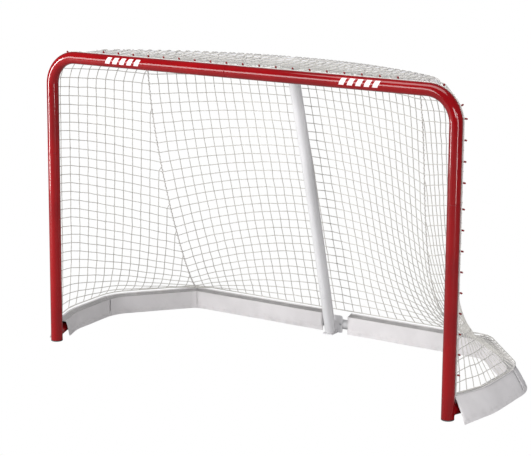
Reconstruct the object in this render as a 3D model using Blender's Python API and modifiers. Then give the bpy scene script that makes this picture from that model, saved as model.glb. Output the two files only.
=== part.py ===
"""Ice hockey goal: a knock-down steel frame with a laced net and canvas skirts.

The origin is under the middle of the goal on the floor.  +Z is up, -Y is the
open front that the shots come from, and +X is to the right of a player who
looks into the goal.
"""
import math

import bmesh
import bpy
from mathutils import Matrix, Vector

# Opening and frame outline
OPENING_WIDTH = 1.8288          # 72 in between the posts
OPENING_HEIGHT = 1.2192         # 48 in from the floor to the crossbar
CORNER_RADIUS = 0.120           # centreline bend between post and crossbar
BASE_DEPTH = 0.805              # post axis to the axis of the rear base tube
BASE_FLARE = 0.075              # base tube's widest point beyond the post axis
BASE_KNEE_DEPTH = 0.170         # where the flare ends behind the post
BASE_BEND_DEPTH = 0.480         # where the side turns to the diagonal
BASE_CORNER_INSET = 0.1948      # post axis to where the diagonal meets the straight rear
BASE_KNEE_TUCK = 0.012          # the flare ends this far inside the widest point
BASE_KNEE_RADIUS = 0.250
BASE_BEND_RADIUS = 0.200
BASE_CORNER_RADIUS = 0.100
SHELF_DEPTH = 0.400             # crossbar axis to the shelf's rear axis
SHELF_END_INSET = 0.1398        # post axis to the shelf's stub
SHELF_BOW = 0.2004              # the shelf's middle lies this far behind its end bends
SHELF_END_RADIUS = 0.130        # short bends beside the stubs

# Tubes
FRONT_OD = 0.0508
FRONT_WALL = 0.0025
REAR_OD = 0.0422
REAR_WALL = 0.0023
POLE_OD = 0.0483
POLE_WALL = 0.0020
POLE_BOW = 0.010                # the pole bends back this much halfway up
POLE_TOP_LEAD = 0.008           # the pole's top axis passes in front of the shelf's
BASE_AXIS_Z = 0.034
POST_JOINT_Z = 0.830
BAR_JOINT_X = -0.057
SHELF_STUB_LENGTH = 0.058
BASE_STUB_LENGTH = 0.100
SLEEVE_LENGTH = 0.120
SLEEVE_WALL = 0.0022

# Pegs, screws and brackets
PEG_RADIUS = 0.0030
PEG_REACH = 0.0130
PEG_TIP = 0.0090
PEG_ANGLE = math.radians(45)    # from straight outward towards the rear
PEG_PITCH_POST = 0.0795
PEG_PITCH_BAR = 0.0762
UPPER_PEG_DROP = 0.0996         # crossbar axis to the first peg on a post
LOWER_PEG_DROP = 0.022          # post joint to the first peg below it
LOWER_PEG_COUNT = 9
BAR_PEG_CLEARANCE = 0.080       # no crossbar pegs this near a shelf stub's axis
BEND_PEG_ANGLES = (22, 62)      # degrees round the bend from the crossbar
SCREW_RADIUS = 0.0030
SCREW_HEAD_RADIUS = 0.0055
SCREW_HEAD_HEIGHT = 0.0030
PLUG_FLANGE = 0.0040
PLUG_SHANK = 0.0160
BRACKET_PLATE = 0.0030
BRACKET_HALF_WIDTH = 0.045
BRACKET_HEIGHT = 0.078
BRACKET_FOOT_LENGTH = 0.056
FOOT_PLATE = 0.0040
FOOT_BOLT_X = 0.036
FOOT_BOLT_Z = 0.040
SPIGOT_LENGTH = 0.034
SADDLE_HALF_LENGTH = 0.042
SADDLE_SCREW_X = 0.033

# Net and skirts
NET_THICKNESS = 0.0040
NET_FOOT_GAP = 0.0040           # lower edge of the net above the skirts' ridge
NET_EDGE_ANGLE = math.radians(60)
ROPE_RADIUS = 0.0025
SEAM_CORD_RADIUS = 0.0020
SEAM_INSET = 0.2748             # post axis to where each net seam leaves the shelf
SEAM_UPPER = (0.2498, 0.350, 0.820)   # Bezier handles of the seam: inset, depth, height
SEAM_LOWER = (0.4198, 0.440, 0.110)
NET_FLARE_POWER = 5             # how closely the net's flare keeps to the base tube
TOP_NET_SAG = 0.010
SKIRT_THICKNESS = 0.0024
SKIRT_INNER_GAP = 0.0099        # inner leg, inward from the base tube's wall
SKIRT_FOLD_RISE = 0.0189        # fold of the inner leg above the base tube
SKIRT_TOP_RISE = 0.0409         # ridge above the base tube
SKIRT_START = 0.048             # first skirt starts here, along the base tube
SKIRT_SPLAY_REACH = 0.0289      # outer leg's foot, outward from the base tube's wall
SKIRT_SPLAY_EXTRA = 0.018       # further out than that at the front, beside the post
SKIRT_GAP = 0.0012
SKIRT_STATION = 0.090           # longest straight stretch of one skirt facet
SKIRT_SHORTEST = 0.003          # and the shortest, beside a cut end
SKIRT_SEAM_LEAD = 0.0288        # side skirts end this far before the base's bend
LACING_RADIUS = 0.0018
LACING_PITCH = 0.150

# Fits
TOUCH = 0.0003                  # gap between touching faces
SLEEVE_FIT = 0.0008             # radial play of a sleeve or plug in a bore
HOLE_FIT = 0.0004               # radial play of a screw in its hole
ROPE_FIT = 0.0005
NET_FIT = 0.0010
SHELF_NET_FIT = 0.0078

# Mesh fineness
FRONT_SIDES = 14
REAR_SIDES = 12
SLEEVE_SIDES = 10
SCREW_SIDES = 6
HEAD_SIDES = 8
BEND_STEP = math.radians(18)
SHELF_STEP = math.radians(5)

# Worked out from the sizes above
FRONT_R = FRONT_OD / 2
REAR_R = REAR_OD / 2
POLE_R = POLE_OD / 2
FRONT_BORE = FRONT_R - FRONT_WALL
REAR_BORE = REAR_R - REAR_WALL
POLE_BORE = POLE_R - POLE_WALL
SKIRT_SPLAY = REAR_R + SKIRT_SPLAY_REACH
POST_X = OPENING_WIDTH / 2 + FRONT_R
BAR_Z = OPENING_HEIGHT + FRONT_R
FRONT_Y = (FRONT_R - BASE_DEPTH - SKIRT_SPLAY - SKIRT_THICKNESS / 2) / 2
BASE_Y = FRONT_Y + BASE_DEPTH
BASE_WIDE_X = POST_X + BASE_FLARE
BASE_CORNER_X = POST_X - BASE_CORNER_INSET
SHELF_END_X = POST_X - SHELF_END_INSET
SEAM_SHELF_X = POST_X - SEAM_INSET
BAR_PEG_END = SHELF_END_X - BAR_PEG_CLEARANCE
UPPER_PEG_Z = BAR_Z - UPPER_PEG_DROP
LOWER_PEG_Z = POST_JOINT_Z - LOWER_PEG_DROP
ROPE_ORBIT = FRONT_R + ROPE_RADIUS + ROPE_FIT
ROPE_ANGLE = min(                       # beside the pegs and clear of the stubs
    math.acos((REAR_R + ROPE_RADIUS + ROPE_FIT) / ROPE_ORBIT),
    PEG_ANGLE - math.asin((PEG_RADIUS + ROPE_RADIUS + 2 * ROPE_FIT) / ROPE_ORBIT))
SKIRT_INNER = REAR_R + SKIRT_INNER_GAP
SKIRT_FOLD_Z = BASE_AXIS_Z + REAR_R + SKIRT_FOLD_RISE
SKIRT_TOP_Z = BASE_AXIS_Z + REAR_R + SKIRT_TOP_RISE
NET_FOOT_Z = SKIRT_TOP_Z + NET_FOOT_GAP

RED = ("red_powder_coat", (0.42, 0.006, 0.012), 0.28, 0.0)
GREY = ("light_grey_powder_coat", (0.60, 0.59, 0.60), 0.40, 0.0)
ZINC = ("zinc_plated_steel", (0.55, 0.55, 0.56), 0.35, 1.0)
BLACK = ("black_polyethylene", (0.02, 0.02, 0.022), 0.55, 0.0)
TWINE = ("white_twine", (0.80, 0.80, 0.77), 0.85, 0.0)
ROPE = ("white_braided_rope", (0.82, 0.79, 0.76), 0.80, 0.0)
CANVAS = ("white_coated_canvas", (0.78, 0.76, 0.76), 0.60, 0.0)


# ---------------------------------------------------------------- scene set-up

def clear_scene():
    for thing in list(bpy.data.objects):
        bpy.data.objects.remove(thing, do_unlink=True)
    goal = bpy.data.collections.new("hockey_goal")
    tools = bpy.data.collections.new("cutters")
    bpy.context.scene.collection.children.link(goal)
    bpy.context.scene.collection.children.link(tools)
    return goal, tools


GOAL, TOOLS = clear_scene()


def finish_material(name, finish):
    label, colour, roughness, metallic = finish
    material = bpy.data.materials.new(f"{name}_{label}")
    material.use_nodes = True
    shader = material.node_tree.nodes["Principled BSDF"]
    shader.inputs["Base Color"].default_value = (*colour, 1.0)
    shader.inputs["Roughness"].default_value = roughness
    shader.inputs["Metallic"].default_value = metallic
    return material


def add_object(name, mesh, finish=None):
    """A part of the goal, or a cutter or joining shape when it has no finish."""
    thing = bpy.data.objects.new(name, mesh)
    if finish:
        GOAL.objects.link(thing)
        mesh.materials.append(finish_material(name, finish))
        mesh.shade_smooth()
        mesh.set_sharp_from_angle(angle=math.radians(40))
    else:
        TOOLS.objects.link(thing)
        thing.hide_render = True
        thing.display_type = "WIRE"
    return thing


def combine(target, operation, *others):
    for other in others:
        modifier = target.modifiers.new(f"{operation.lower()}_{other.name}", "BOOLEAN")
        modifier.operation = operation
        modifier.solver = "EXACT"
        modifier.object = other


# ------------------------------------------------------------------ path tools

def rounded_path(corners, radii, step=BEND_STEP):
    """A polyline through the corners, with a round bend at each inner one."""
    points = [Vector(corners[0])]
    for before, corner, after, radius in zip(corners, corners[1:], corners[2:], radii):
        corner = Vector(corner)
        back = (Vector(before) - corner).normalized()
        ahead = (Vector(after) - corner).normalized()
        turn = math.pi - back.angle(ahead)
        setback = radius * math.tan(turn / 2)
        centre = corner + (back + ahead).normalized() * radius / math.cos(turn / 2)
        spoke = corner + back * setback - centre
        axis = (-back).cross(ahead).normalized()
        count = max(2, math.ceil(turn / step))
        for index in range(count + 1):
            turned = Matrix.Rotation(turn * index / count, 3, axis) @ spoke
            points.append(centre + turned)
    points.append(Vector(corners[-1]))
    return points


def path_length(points):
    return sum((b - a).length for a, b in zip(points, points[1:]))


def place_on(points, distance):
    """The point and direction at a distance along a polyline."""
    for start, end in zip(points, points[1:]):
        length = (end - start).length
        if distance <= length:
            return start + (end - start) * (distance / length), (end - start) / length
        distance -= length
    return points[-1].copy(), (points[-1] - points[-2]).normalized()


def cut_path(points, first, last, shortest=1e-6):
    """The stretch of a polyline between two distances along it."""
    kept = [place_on(points, first)[0]]
    travelled = 0.0
    for start, end in zip(points, points[1:]):
        travelled += (end - start).length
        if first + shortest < travelled < last - shortest:
            kept.append(end.copy())
    kept.append(place_on(points, last)[0])
    return kept


def fine_path(points, step):
    """The same polyline with its long straight stretches divided."""
    finer = [points[0]]
    for start, end in zip(points, points[1:]):
        count = math.ceil((end - start).length / step)
        finer += [start.lerp(end, index / count) for index in range(1, count + 1)]
    return finer


def mirrored(points):
    return [Vector((-p.x, p.y, p.z)) for p in points]


def level_outward(direction):
    """Level and away from the goal, for a path that starts on the right and goes back."""
    return Vector((direction.y, -direction.x, 0)).normalized()


# ----------------------------------------------------------------- shape tools

def rod_mesh(name, path, radius, sides=FRONT_SIDES):
    """A solid round bar along a path."""
    curve = bpy.data.curves.new(name + "_path", "CURVE")
    curve.dimensions = "3D"
    curve.bevel_depth = radius
    curve.bevel_resolution = (sides - 4) // 2
    curve.use_fill_caps = True
    spline = curve.splines.new("POLY")
    spline.points.add(len(path) - 1)
    for point, place in zip(spline.points, path):
        point.co = (*place, 1.0)
    carrier = bpy.data.objects.new(name + "_curve", curve)
    TOOLS.objects.link(carrier)
    bpy.context.view_layer.update()
    evaluated = carrier.evaluated_get(bpy.context.evaluated_depsgraph_get())
    mesh = bpy.data.meshes.new_from_object(evaluated)
    bpy.data.objects.remove(carrier, do_unlink=True)
    work = bmesh.new()
    work.from_mesh(mesh)
    bmesh.ops.remove_doubles(work, verts=work.verts, dist=1e-6)
    bmesh.ops.recalc_face_normals(work, faces=work.faces)
    work.to_mesh(mesh)
    work.free()
    mesh.name = name
    return mesh


def rod(name, path, radius, finish=None, sides=FRONT_SIDES):
    return add_object(name, rod_mesh(name, path, radius, sides), finish)


def join_meshes(name, meshes):
    work = bmesh.new()
    for mesh in meshes:
        work.from_mesh(mesh)
    joined = bpy.data.meshes.new(name)
    work.to_mesh(joined)
    work.free()
    return joined


def longer(path, amount):
    """The same path with both ends run on, for a bore cutter."""
    first = path[0] + (path[0] - path[1]).normalized() * amount
    last = path[-1] + (path[-1] - path[-2]).normalized() * amount
    return [first] + path[1:-1] + [last]


def box(name, low, high, finish=None):
    low, high = Vector(low), Vector(high)
    work = bmesh.new()
    size = high - low
    bmesh.ops.create_cube(work, size=1.0, matrix=Matrix.Translation((low + high) / 2)
                          @ Matrix.Diagonal((*size, 1.0)))
    mesh = bpy.data.meshes.new(name)
    work.to_mesh(mesh)
    work.free()
    return add_object(name, mesh, finish)


def sheet(name, rows, thickness, finish, even=False):
    """A thin closed panel on a grid of points, half its thickness to each side."""
    work = bmesh.new()
    grid = [[work.verts.new(point) for point in row] for row in rows]
    for upper, lower in zip(grid, grid[1:]):
        for a, b, c, d in zip(upper, upper[1:], lower[1:], lower):
            work.faces.new((a, b, c, d))
    mesh = bpy.data.meshes.new(name)
    work.to_mesh(mesh)
    work.free()
    panel = add_object(name, mesh, finish)
    shell = panel.modifiers.new("thickness", "SOLIDIFY")
    shell.thickness = thickness
    shell.offset = 0.0
    shell.use_even_offset = even
    return panel


def screw(name, seat, direction, length, *holed):
    """A pan-head screw whose head seats just off a surface.

    Its hole is cut before a tube's bore, while the tube is still a solid bar.
    """
    direction = Vector(direction).normalized()
    seat = Vector(seat)
    tip = seat + direction * length
    head_top = seat - direction * (SCREW_HEAD_HEIGHT + TOUCH)
    head_foot = seat - direction * TOUCH
    shank = rod(name, [head_foot - direction * TOUCH, tip], SCREW_RADIUS, ZINC, SCREW_SIDES)
    head = rod(name + "_head", [head_top, head_foot], SCREW_HEAD_RADIUS, None, HEAD_SIDES)
    combine(shank, "UNION", head)
    path = [seat - direction * 0.004, tip + direction * TOUCH * 4]
    hole = rod(name + "_hole", path, SCREW_RADIUS + HOLE_FIT, None, HEAD_SIDES)
    for piece in holed:
        combine(piece, "DIFFERENCE", hole)
        piece.modifiers.move(len(piece.modifiers) - 1, 0)
    return shank


# -------------------------------------------------------------------- outlines

def post_path(side, low, high):
    return [Vector((side * POST_X, FRONT_Y, low)), Vector((side * POST_X, FRONT_Y, high))]


def corner_path(side, bar_end):
    corners = [(bar_end, FRONT_Y, BAR_Z), (side * POST_X, FRONT_Y, BAR_Z),
               (side * POST_X, FRONT_Y, POST_JOINT_Z + TOUCH / 2)]
    return rounded_path(corners, [CORNER_RADIUS])


def base_path():
    """Right half of the base tube's axis, from the post to the middle."""
    corners = [(POST_X, FRONT_Y, BASE_AXIS_Z),
               (BASE_WIDE_X - BASE_KNEE_TUCK, FRONT_Y + BASE_KNEE_DEPTH, BASE_AXIS_Z),
               (BASE_WIDE_X, FRONT_Y + BASE_BEND_DEPTH, BASE_AXIS_Z),
               (BASE_CORNER_X, BASE_Y, BASE_AXIS_Z),
               (0, BASE_Y, BASE_AXIS_Z)]
    return rounded_path(corners, [BASE_KNEE_RADIUS, BASE_BEND_RADIUS, BASE_CORNER_RADIUS])


def shelf_path():
    """Right half of the shelf tube's axis, from the crossbar to the middle."""
    end_centre_x = SHELF_END_X - SHELF_END_RADIUS
    spread = (end_centre_x ** 2 + SHELF_BOW ** 2) / (2 * SHELF_BOW)
    rear_radius = SHELF_END_RADIUS + spread
    rear_centre_y = FRONT_Y + SHELF_DEPTH - rear_radius
    reach = spread - SHELF_BOW
    end_centre_y = rear_centre_y + reach
    meet = math.atan2(reach, end_centre_x)
    points = [Vector((SHELF_END_X, FRONT_Y, BAR_Z))]
    count = math.ceil(meet / BEND_STEP)
    for index in range(count + 1):
        angle = meet * index / count
        points.append(Vector((end_centre_x + SHELF_END_RADIUS * math.cos(angle),
                              end_centre_y + SHELF_END_RADIUS * math.sin(angle), BAR_Z)))
    count = math.ceil((math.pi / 2 - meet) / SHELF_STEP)
    step = (math.pi / 2 - meet) / (count + 0.5)
    for index in range(1, count + 1):
        angle = meet + step * index
        points.append(Vector((rear_radius * math.cos(angle),
                              rear_centre_y + rear_radius * math.sin(angle), BAR_Z)))
    points.append(Vector((0, points[-1].y, BAR_Z)))
    return points


BASE = base_path()
SHELF = shelf_path()
SHELF_Y = SHELF[-1].y
BASE_LENGTH = path_length(BASE)
SHELF_LENGTH = path_length(SHELF)
BASE_LOOP = BASE + mirrored(BASE)[-2::-1]
SHELF_LOOP = SHELF + mirrored(SHELF)[-2::-1]


def frame_direction(outward, angle):
    """A direction across the front tubes, turned from outward towards the rear."""
    return outward * math.cos(angle) + Vector((0, math.sin(angle), 0))


def front_line(side, foot_z, bar_x, radial, angle):
    """A line that follows the front tubes at a fixed place on their surface."""
    steps = 2 * math.ceil(math.pi / 2 / BEND_STEP)
    bend = [Vector((math.sin(a), 0, math.cos(a)))
            for a in (math.pi / 2 * i / steps for i in range(steps + 1))]
    middle = Vector((POST_X - CORNER_RADIUS, FRONT_Y, BAR_Z - CORNER_RADIUS))
    points = []
    for share in (0, 0.2, 0.4, 0.6, 0.8):
        height = foot_z + (BAR_Z - CORNER_RADIUS - foot_z) * share
        points.append(Vector((POST_X, FRONT_Y, height))
                      + frame_direction(Vector((1, 0, 0)), angle) * radial)
    for outward in reversed(bend):
        points.append(middle + outward * CORNER_RADIUS
                      + frame_direction(outward, angle) * radial)
    points.append(Vector((bar_x, FRONT_Y, BAR_Z))
                  + frame_direction(Vector((0, 0, 1)), angle) * radial)
    return points if side > 0 else mirrored(points)


# ------------------------------------------------------------ front frame, red

def peg_mesh(root, outward):
    """A bent wire peg: a stem out of the tube and a tip turned to the front."""
    stem = frame_direction(outward, PEG_ANGLE)
    tip = frame_direction(outward, PEG_ANGLE - math.pi / 2)
    foot = root + stem * (FRONT_R - FRONT_WALL)
    elbow = root + stem * (FRONT_R + PEG_REACH)
    end = elbow + tip * PEG_TIP
    return rod_mesh("peg", [foot, elbow, end], PEG_RADIUS, 6)


def post_pegs(side, heights):
    outward = Vector((side, 0, 0))
    return [peg_mesh(Vector((side * POST_X, FRONT_Y, z)), outward) for z in heights]


def bar_pegs(places):
    return [peg_mesh(Vector((x, FRONT_Y, BAR_Z)), Vector((0, 0, 1))) for x in places]


def bend_pegs(side):
    pegs = []
    for degrees in BEND_PEG_ANGLES:
        angle = math.radians(degrees)
        outward = Vector((side * math.sin(angle), 0, math.cos(angle)))
        middle = Vector((side * (POST_X - CORNER_RADIUS), FRONT_Y, BAR_Z - CORNER_RADIUS))
        pegs.append(peg_mesh(middle + outward * CORNER_RADIUS, outward))
    return pegs


def front_tube(name, path, stub, pegs):
    """A red tube with its welded-on stub and pegs, both tubes bored through."""
    tube = rod(name, path, FRONT_R, RED)
    pegs = add_object(name + "_pegs", join_meshes(name + "_pegs", pegs))
    combine(tube, "UNION", rod(name + "_stub", stub, REAR_R, None, REAR_SIDES), pegs)
    through = stub[:-1] + [longer(stub, 0.005)[-1]]
    combine(tube, "DIFFERENCE", rod(name + "_bore", longer(path, 0.005), FRONT_BORE),
            rod(name + "_stub_bore", through, REAR_BORE, None, REAR_SIDES))
    return tube


def rear_tube(name, path):
    tube = rod(name, path, REAR_R, GREY, REAR_SIDES)
    bore = rod(name + "_bore", longer(path, 0.005), REAR_BORE, None, REAR_SIDES)
    combine(tube, "DIFFERENCE", bore)
    return tube


def corner_tube(side, name, bar_end):
    """Crossbar half, top bend and upper post in one bent tube, with its shelf stub."""
    path = corner_path(side, bar_end)
    stub = cut_path(SHELF, 0, SHELF_STUB_LENGTH)
    if side < 0:
        stub = mirrored(stub)
    count = int(BAR_PEG_END / PEG_PITCH_BAR)
    places = [k * PEG_PITCH_BAR for k in range(-count, count + 1)]
    own = [x for x in places if (x - bar_end) * side > PEG_RADIUS * 2]
    heights = []
    height = UPPER_PEG_Z
    while height > POST_JOINT_Z + PEG_PITCH_POST / 2:
        heights.append(height)
        height -= PEG_PITCH_POST
    pegs = bar_pegs(own) + bend_pegs(side) + post_pegs(side, heights)
    return front_tube(name, path, stub, pegs)


def lower_post(side, name):
    path = post_path(side, PLUG_FLANGE + TOUCH, POST_JOINT_Z - TOUCH / 2)
    stub = cut_path(BASE, 0, BASE_STUB_LENGTH)
    if side < 0:
        stub = mirrored(stub)
    heights = [LOWER_PEG_Z - k * PEG_PITCH_POST for k in range(LOWER_PEG_COUNT)]
    return front_tube(name, path, stub, post_pegs(side, heights))


def sleeve(name, path, bore, finish=ZINC):
    """A short tube that joins two frame tubes from inside their bores."""
    outer = bore - SLEEVE_FIT
    tube = rod(name, path, outer, finish, SLEEVE_SIDES)
    combine(tube, "DIFFERENCE", rod(name + "_bore", longer(path, 0.005),
                                    outer - SLEEVE_WALL, None, SLEEVE_SIDES))
    return tube


def foot_plug(side, name):
    """A stepped plug turned from one profile; its flange is the post's foot."""
    shank = FRONT_BORE - SLEEVE_FIT
    profile = [(0.0, PLUG_FLANGE + PLUG_SHANK), (shank - 0.001, PLUG_FLANGE + PLUG_SHANK),
               (shank, PLUG_FLANGE + PLUG_SHANK - 0.001), (shank, PLUG_FLANGE),
               (FRONT_R, PLUG_FLANGE), (FRONT_R, 0.0005), (FRONT_R - 0.0005, 0.0), (0.0, 0.0)]
    work = bmesh.new()
    verts = [work.verts.new((x, 0, z)) for x, z in profile]
    for first, second in zip(verts, verts[1:]):
        work.edges.new((first, second))
    mesh = bpy.data.meshes.new(name)
    work.to_mesh(mesh)
    work.free()
    plug = add_object(name, mesh, BLACK)
    plug.location = (side * POST_X, FRONT_Y, 0)
    turning = plug.modifiers.new("turned", "SCREW")
    turning.steps = FRONT_SIDES
    turning.render_steps = FRONT_SIDES
    turning.use_merge_vertices = True
    turning.merge_threshold = 0.00005
    turning.use_normal_calculate = True
    return plug


# ------------------------------------------------------- rear frame, light grey

def pole_axis():
    """The centre pole's axis, bowed a little to the rear, from foot to top."""
    foot = Vector((0, BASE_Y - REAR_R - TOUCH - BRACKET_PLATE - POLE_R - 0.002, FOOT_PLATE))
    top = Vector((0, SHELF_Y - POLE_TOP_LEAD, BAR_Z))
    count = 6
    points = []
    for index in range(count + 1):
        share = index / count
        point = foot.lerp(top, share)
        point.y += POLE_BOW * 4 * share * (1 - share)
        points.append(point)
    return points


POLE = pole_axis()


def centre_pole():
    length = path_length(POLE)
    lower = (POLE_R + 0.001) * abs(POLE[1].y - POLE[0].y) / (POLE[1].z - POLE[0].z)
    path = cut_path(POLE, lower + 0.001, length - REAR_R - BRACKET_PLATE - 0.0085)
    tube = rod("centre_pole", path, POLE_R, GREY)
    combine(tube, "DIFFERENCE", rod("centre_pole_bore", longer(path, 0.005), POLE_BORE))
    return tube


def pole_top_saddle():
    """A half-round saddle under the shelf tube with a spigot in the pole's top."""
    level = [Vector((x, SHELF_Y, BAR_Z)) for x in (-SADDLE_HALF_LENGTH, SADDLE_HALF_LENGTH)]
    inner = REAR_R + 0.0010
    saddle = rod("pole_top_saddle", level, inner + BRACKET_PLATE, GREY, 20)
    length = path_length(POLE)
    path = cut_path(POLE, length - SPIGOT_LENGTH - REAR_R, length - REAR_R * 0.9)
    combine(saddle, "UNION", rod("saddle_spigot", path, POLE_BORE - SLEEVE_FIT, None, 12))
    combine(saddle, "DIFFERENCE", rod("saddle_seat", longer(level, 0.01), inner, None, 20))
    reach = SADDLE_HALF_LENGTH + 0.01
    combine(saddle, "DIFFERENCE",
            box("saddle_open_top", (-reach, SHELF_Y - 0.04, BAR_Z),
                (reach, SHELF_Y + 0.04, BAR_Z + 0.04)),
            box("saddle_net_side", (-reach, SHELF_Y + REAR_R * 0.9, BAR_Z - 0.04),
                (reach, SHELF_Y + 0.04, BAR_Z + 0.01)))
    return saddle


def pole_foot_bracket():
    """A plate on the rear base tube with a foot on the floor and a spigot."""
    front = BASE_Y - REAR_R - TOUCH - BRACKET_PLATE
    plate = box("pole_foot_bracket", (-BRACKET_HALF_WIDTH, front, 0),
                (BRACKET_HALF_WIDTH, front + BRACKET_PLATE, BRACKET_HEIGHT), GREY)
    foot = box("bracket_foot", (-POLE_R, front - BRACKET_FOOT_LENGTH, 0),
               (POLE_R, front + BRACKET_PLATE / 2, FOOT_PLATE))
    path = cut_path(POLE, 0, SPIGOT_LENGTH)
    path[0] = path[0] - (path[1] - path[0]).normalized() * 0.002
    spigot = rod("bracket_spigot", path, POLE_BORE - SLEEVE_FIT, None, 12)
    combine(plate, "UNION", foot, spigot)
    trim = box("bracket_floor_trim", (-0.1, front - 0.1, -0.02), (0.1, front + 0.1, 0.0))
    combine(plate, "DIFFERENCE", trim)
    return plate


# ------------------------------------------------------------- net and skirts

def net_seam():
    """Right-hand seam between the side and the back of the net, shelf to base."""
    shelf = seam_shelf_distance()
    place, heading = place_on(SHELF, shelf)
    start = place + level_outward(heading) * shelf_offset()
    base = place_on(BASE, seam_base_distance())[0]
    end = Vector((base.x, base.y, NET_FOOT_Z))
    upper, lower = (Vector((POST_X - inset, FRONT_Y + depth, height))
                    for inset, depth, height in (SEAM_UPPER, SEAM_LOWER))

    def at(share):
        rest = 1 - share
        return (start * rest ** 3 + upper * (3 * share * rest ** 2)
                + lower * (3 * share ** 2 * rest) + end * share ** 3)
    return at


def shelf_offset():
    """From the shelf tube's axis to the middle of a net panel on its side."""
    return REAR_R + NET_THICKNESS / 2 + SHELF_NET_FIT


def seam_shelf_distance():
    travelled = 0.0
    for start, end in zip(SHELF, SHELF[1:]):
        if end.x <= SEAM_SHELF_X <= start.x:
            share = (start.x - SEAM_SHELF_X) / (start.x - end.x)
            return travelled + (end - start).length * share
        travelled += (end - start).length
    raise ValueError("the seam has to leave the shelf between its end and its middle")


def seam_base_distance():
    """Halfway round the bend where the diagonal meets the rear tube."""
    travelled = 0.0
    for start, end in zip(BASE, BASE[1:]):
        if end.x <= BASE_CORNER_X - 0.005 and end.y > BASE_Y - 0.02:
            share = (start.x - BASE_CORNER_X + 0.005) / (start.x - end.x)
            return travelled + (end - start).length * min(1, max(0, share))
        travelled += (end - start).length
    raise ValueError("the diagonal has to reach the rear tube")


SEAM = net_seam()


def side_net(side, name):
    """The net between a post and its seam, a patch spanned by its four edges."""
    columns = 8
    edge = front_line(1, NET_FOOT_Z, SHELF_END_X + REAR_R + 0.004,
                      FRONT_R + NET_THICKNESS / 2 + NET_FIT, NET_EDGE_ANGLE)
    edge.reverse()
    edge_length = path_length(edge)
    shelf_from = FRONT_R + 0.006
    shelf_to = seam_shelf_distance()
    base_to = seam_base_distance()

    def front(v):
        return place_on(edge, edge_length * v)[0]

    def top(u):
        place, heading = place_on(SHELF, shelf_from + (shelf_to - shelf_from) * u)
        place = place + level_outward(heading) * shelf_offset()
        lead = front(0) - (place_on(SHELF, shelf_from)[0] + Vector((shelf_offset(), 0, 0)))
        return place + lead * (1 - u) ** 3

    def bottom(u):
        place = place_on(BASE, base_to * u)[0]
        lead = front(1) - Vector((POST_X, FRONT_Y, NET_FOOT_Z))
        return Vector((place.x, place.y, NET_FOOT_Z)) + lead * (1 - u) ** 3

    grid = []
    travelled = 0.0
    for before, after in zip([edge[0]] + edge, edge):
        travelled += (after - before).length
        v = travelled / edge_length
        line = []
        for column in range(columns + 1):
            u = 0.98 * column / columns
            across = front(v) * (1 - u) + SEAM(v) * u
            rise = top(u) - top(0).lerp(top(1), u)
            flare = bottom(u) - bottom(0).lerp(bottom(1), u)
            line.append(across + rise * (1 - v) + flare * v ** NET_FLARE_POWER)
        grid.append(line)
    if side < 0:
        grid = [mirrored(line) for line in grid]
    return sheet(name, grid, NET_THICKNESS, TWINE)


def back_net():
    """The net from the shelf to the rear base tube; it hangs straight at the pole."""
    columns, rows = 16, 8
    seam_shelf = seam_shelf_distance()
    shelf_span = 2 * (SHELF_LENGTH - seam_shelf)
    seam_base = seam_base_distance()
    base_span = 2 * (BASE_LENGTH - seam_base)
    grid = []
    for row in range(rows + 1):
        v = row / rows
        line = []
        for column in range(columns + 1):
            u = 0.004 + 0.992 * column / columns
            place, heading = place_on(SHELF_LOOP, seam_shelf + shelf_span * u)
            top = place + level_outward(heading) * shelf_offset()
            low = place_on(BASE_LOOP, seam_base + base_span * u)[0]
            low = Vector((low.x, low.y, NET_FOOT_Z))
            chord = SEAM(0).lerp(SEAM(1), v)
            sweep = SEAM(v) - chord
            fade = abs(2 * u - 1) ** 2
            bow = Vector((sweep.x * math.copysign(1, 0.5 - u), sweep.y, sweep.z)) * fade
            line.append(top.lerp(low, v) + bow)
        grid.append(line)
    return sheet("net_back", grid, NET_THICKNESS, TWINE)


def top_net():
    """The net over the shelf, from the crossbar to just over the shelf tube."""
    columns, rows = 16, 5
    reach = SHELF_END_X - REAR_R - 0.008
    crest = BAR_Z + REAR_R + NET_THICKNESS / 2 + ROPE_FIT
    front = Vector((0, FRONT_Y, BAR_Z)) + frame_direction(
        Vector((0, 0, 1)), NET_EDGE_ANGLE) * (FRONT_R + NET_THICKNESS / 2 + ROPE_FIT)
    grid = [[] for _ in range(rows + 2)]
    for column in range(columns + 1):
        x = reach * math.sin(math.pi / 2 * (2 * column / columns - 1))
        rear = shelf_depth_at(abs(x))
        for row in range(rows + 1):
            share = row / rows
            sag = TOP_NET_SAG * 4 * share * (1 - share) * (1 - (x / reach) ** 4)
            height = front.z + (crest - front.z) * min(1, share * 2.5)
            grid[row].append(Vector((x, front.y + (rear - front.y) * share, height - sag)))
        over = math.radians(35)
        wrap = REAR_R + NET_THICKNESS / 2 + ROPE_FIT
        grid[-1].append(Vector((x, rear + wrap * math.sin(over) + 0.001,
                                BAR_Z + wrap * math.cos(over) + 0.002)))
    return sheet("net_top", grid, NET_THICKNESS, TWINE)


def shelf_depth_at(x):
    for start, end in zip(SHELF, SHELF[1:]):
        if end.x <= x <= start.x and start.x > end.x:
            return start.y + (end.y - start.y) * (start.x - x) / (start.x - end.x)
    return SHELF[1].y


def seam_cord(side, name):
    points = [SEAM(index / 12) for index in range(13)]
    points[0].z -= 0.004
    points[-1].z += 0.002
    if side < 0:
        points = mirrored(points)
    return rod(name, points, SEAM_CORD_RADIUS, ROPE, 6)


def border_rope():
    """One rope through all the front pegs, up one post, across and down."""
    right = front_line(1, NET_FOOT_Z, 0.0, FRONT_R + ROPE_RADIUS + ROPE_FIT, ROPE_ANGLE)
    left = mirrored(right)[-2::-1]
    return rod("border_rope", right + left, ROPE_RADIUS, ROPE, 6)


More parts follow.
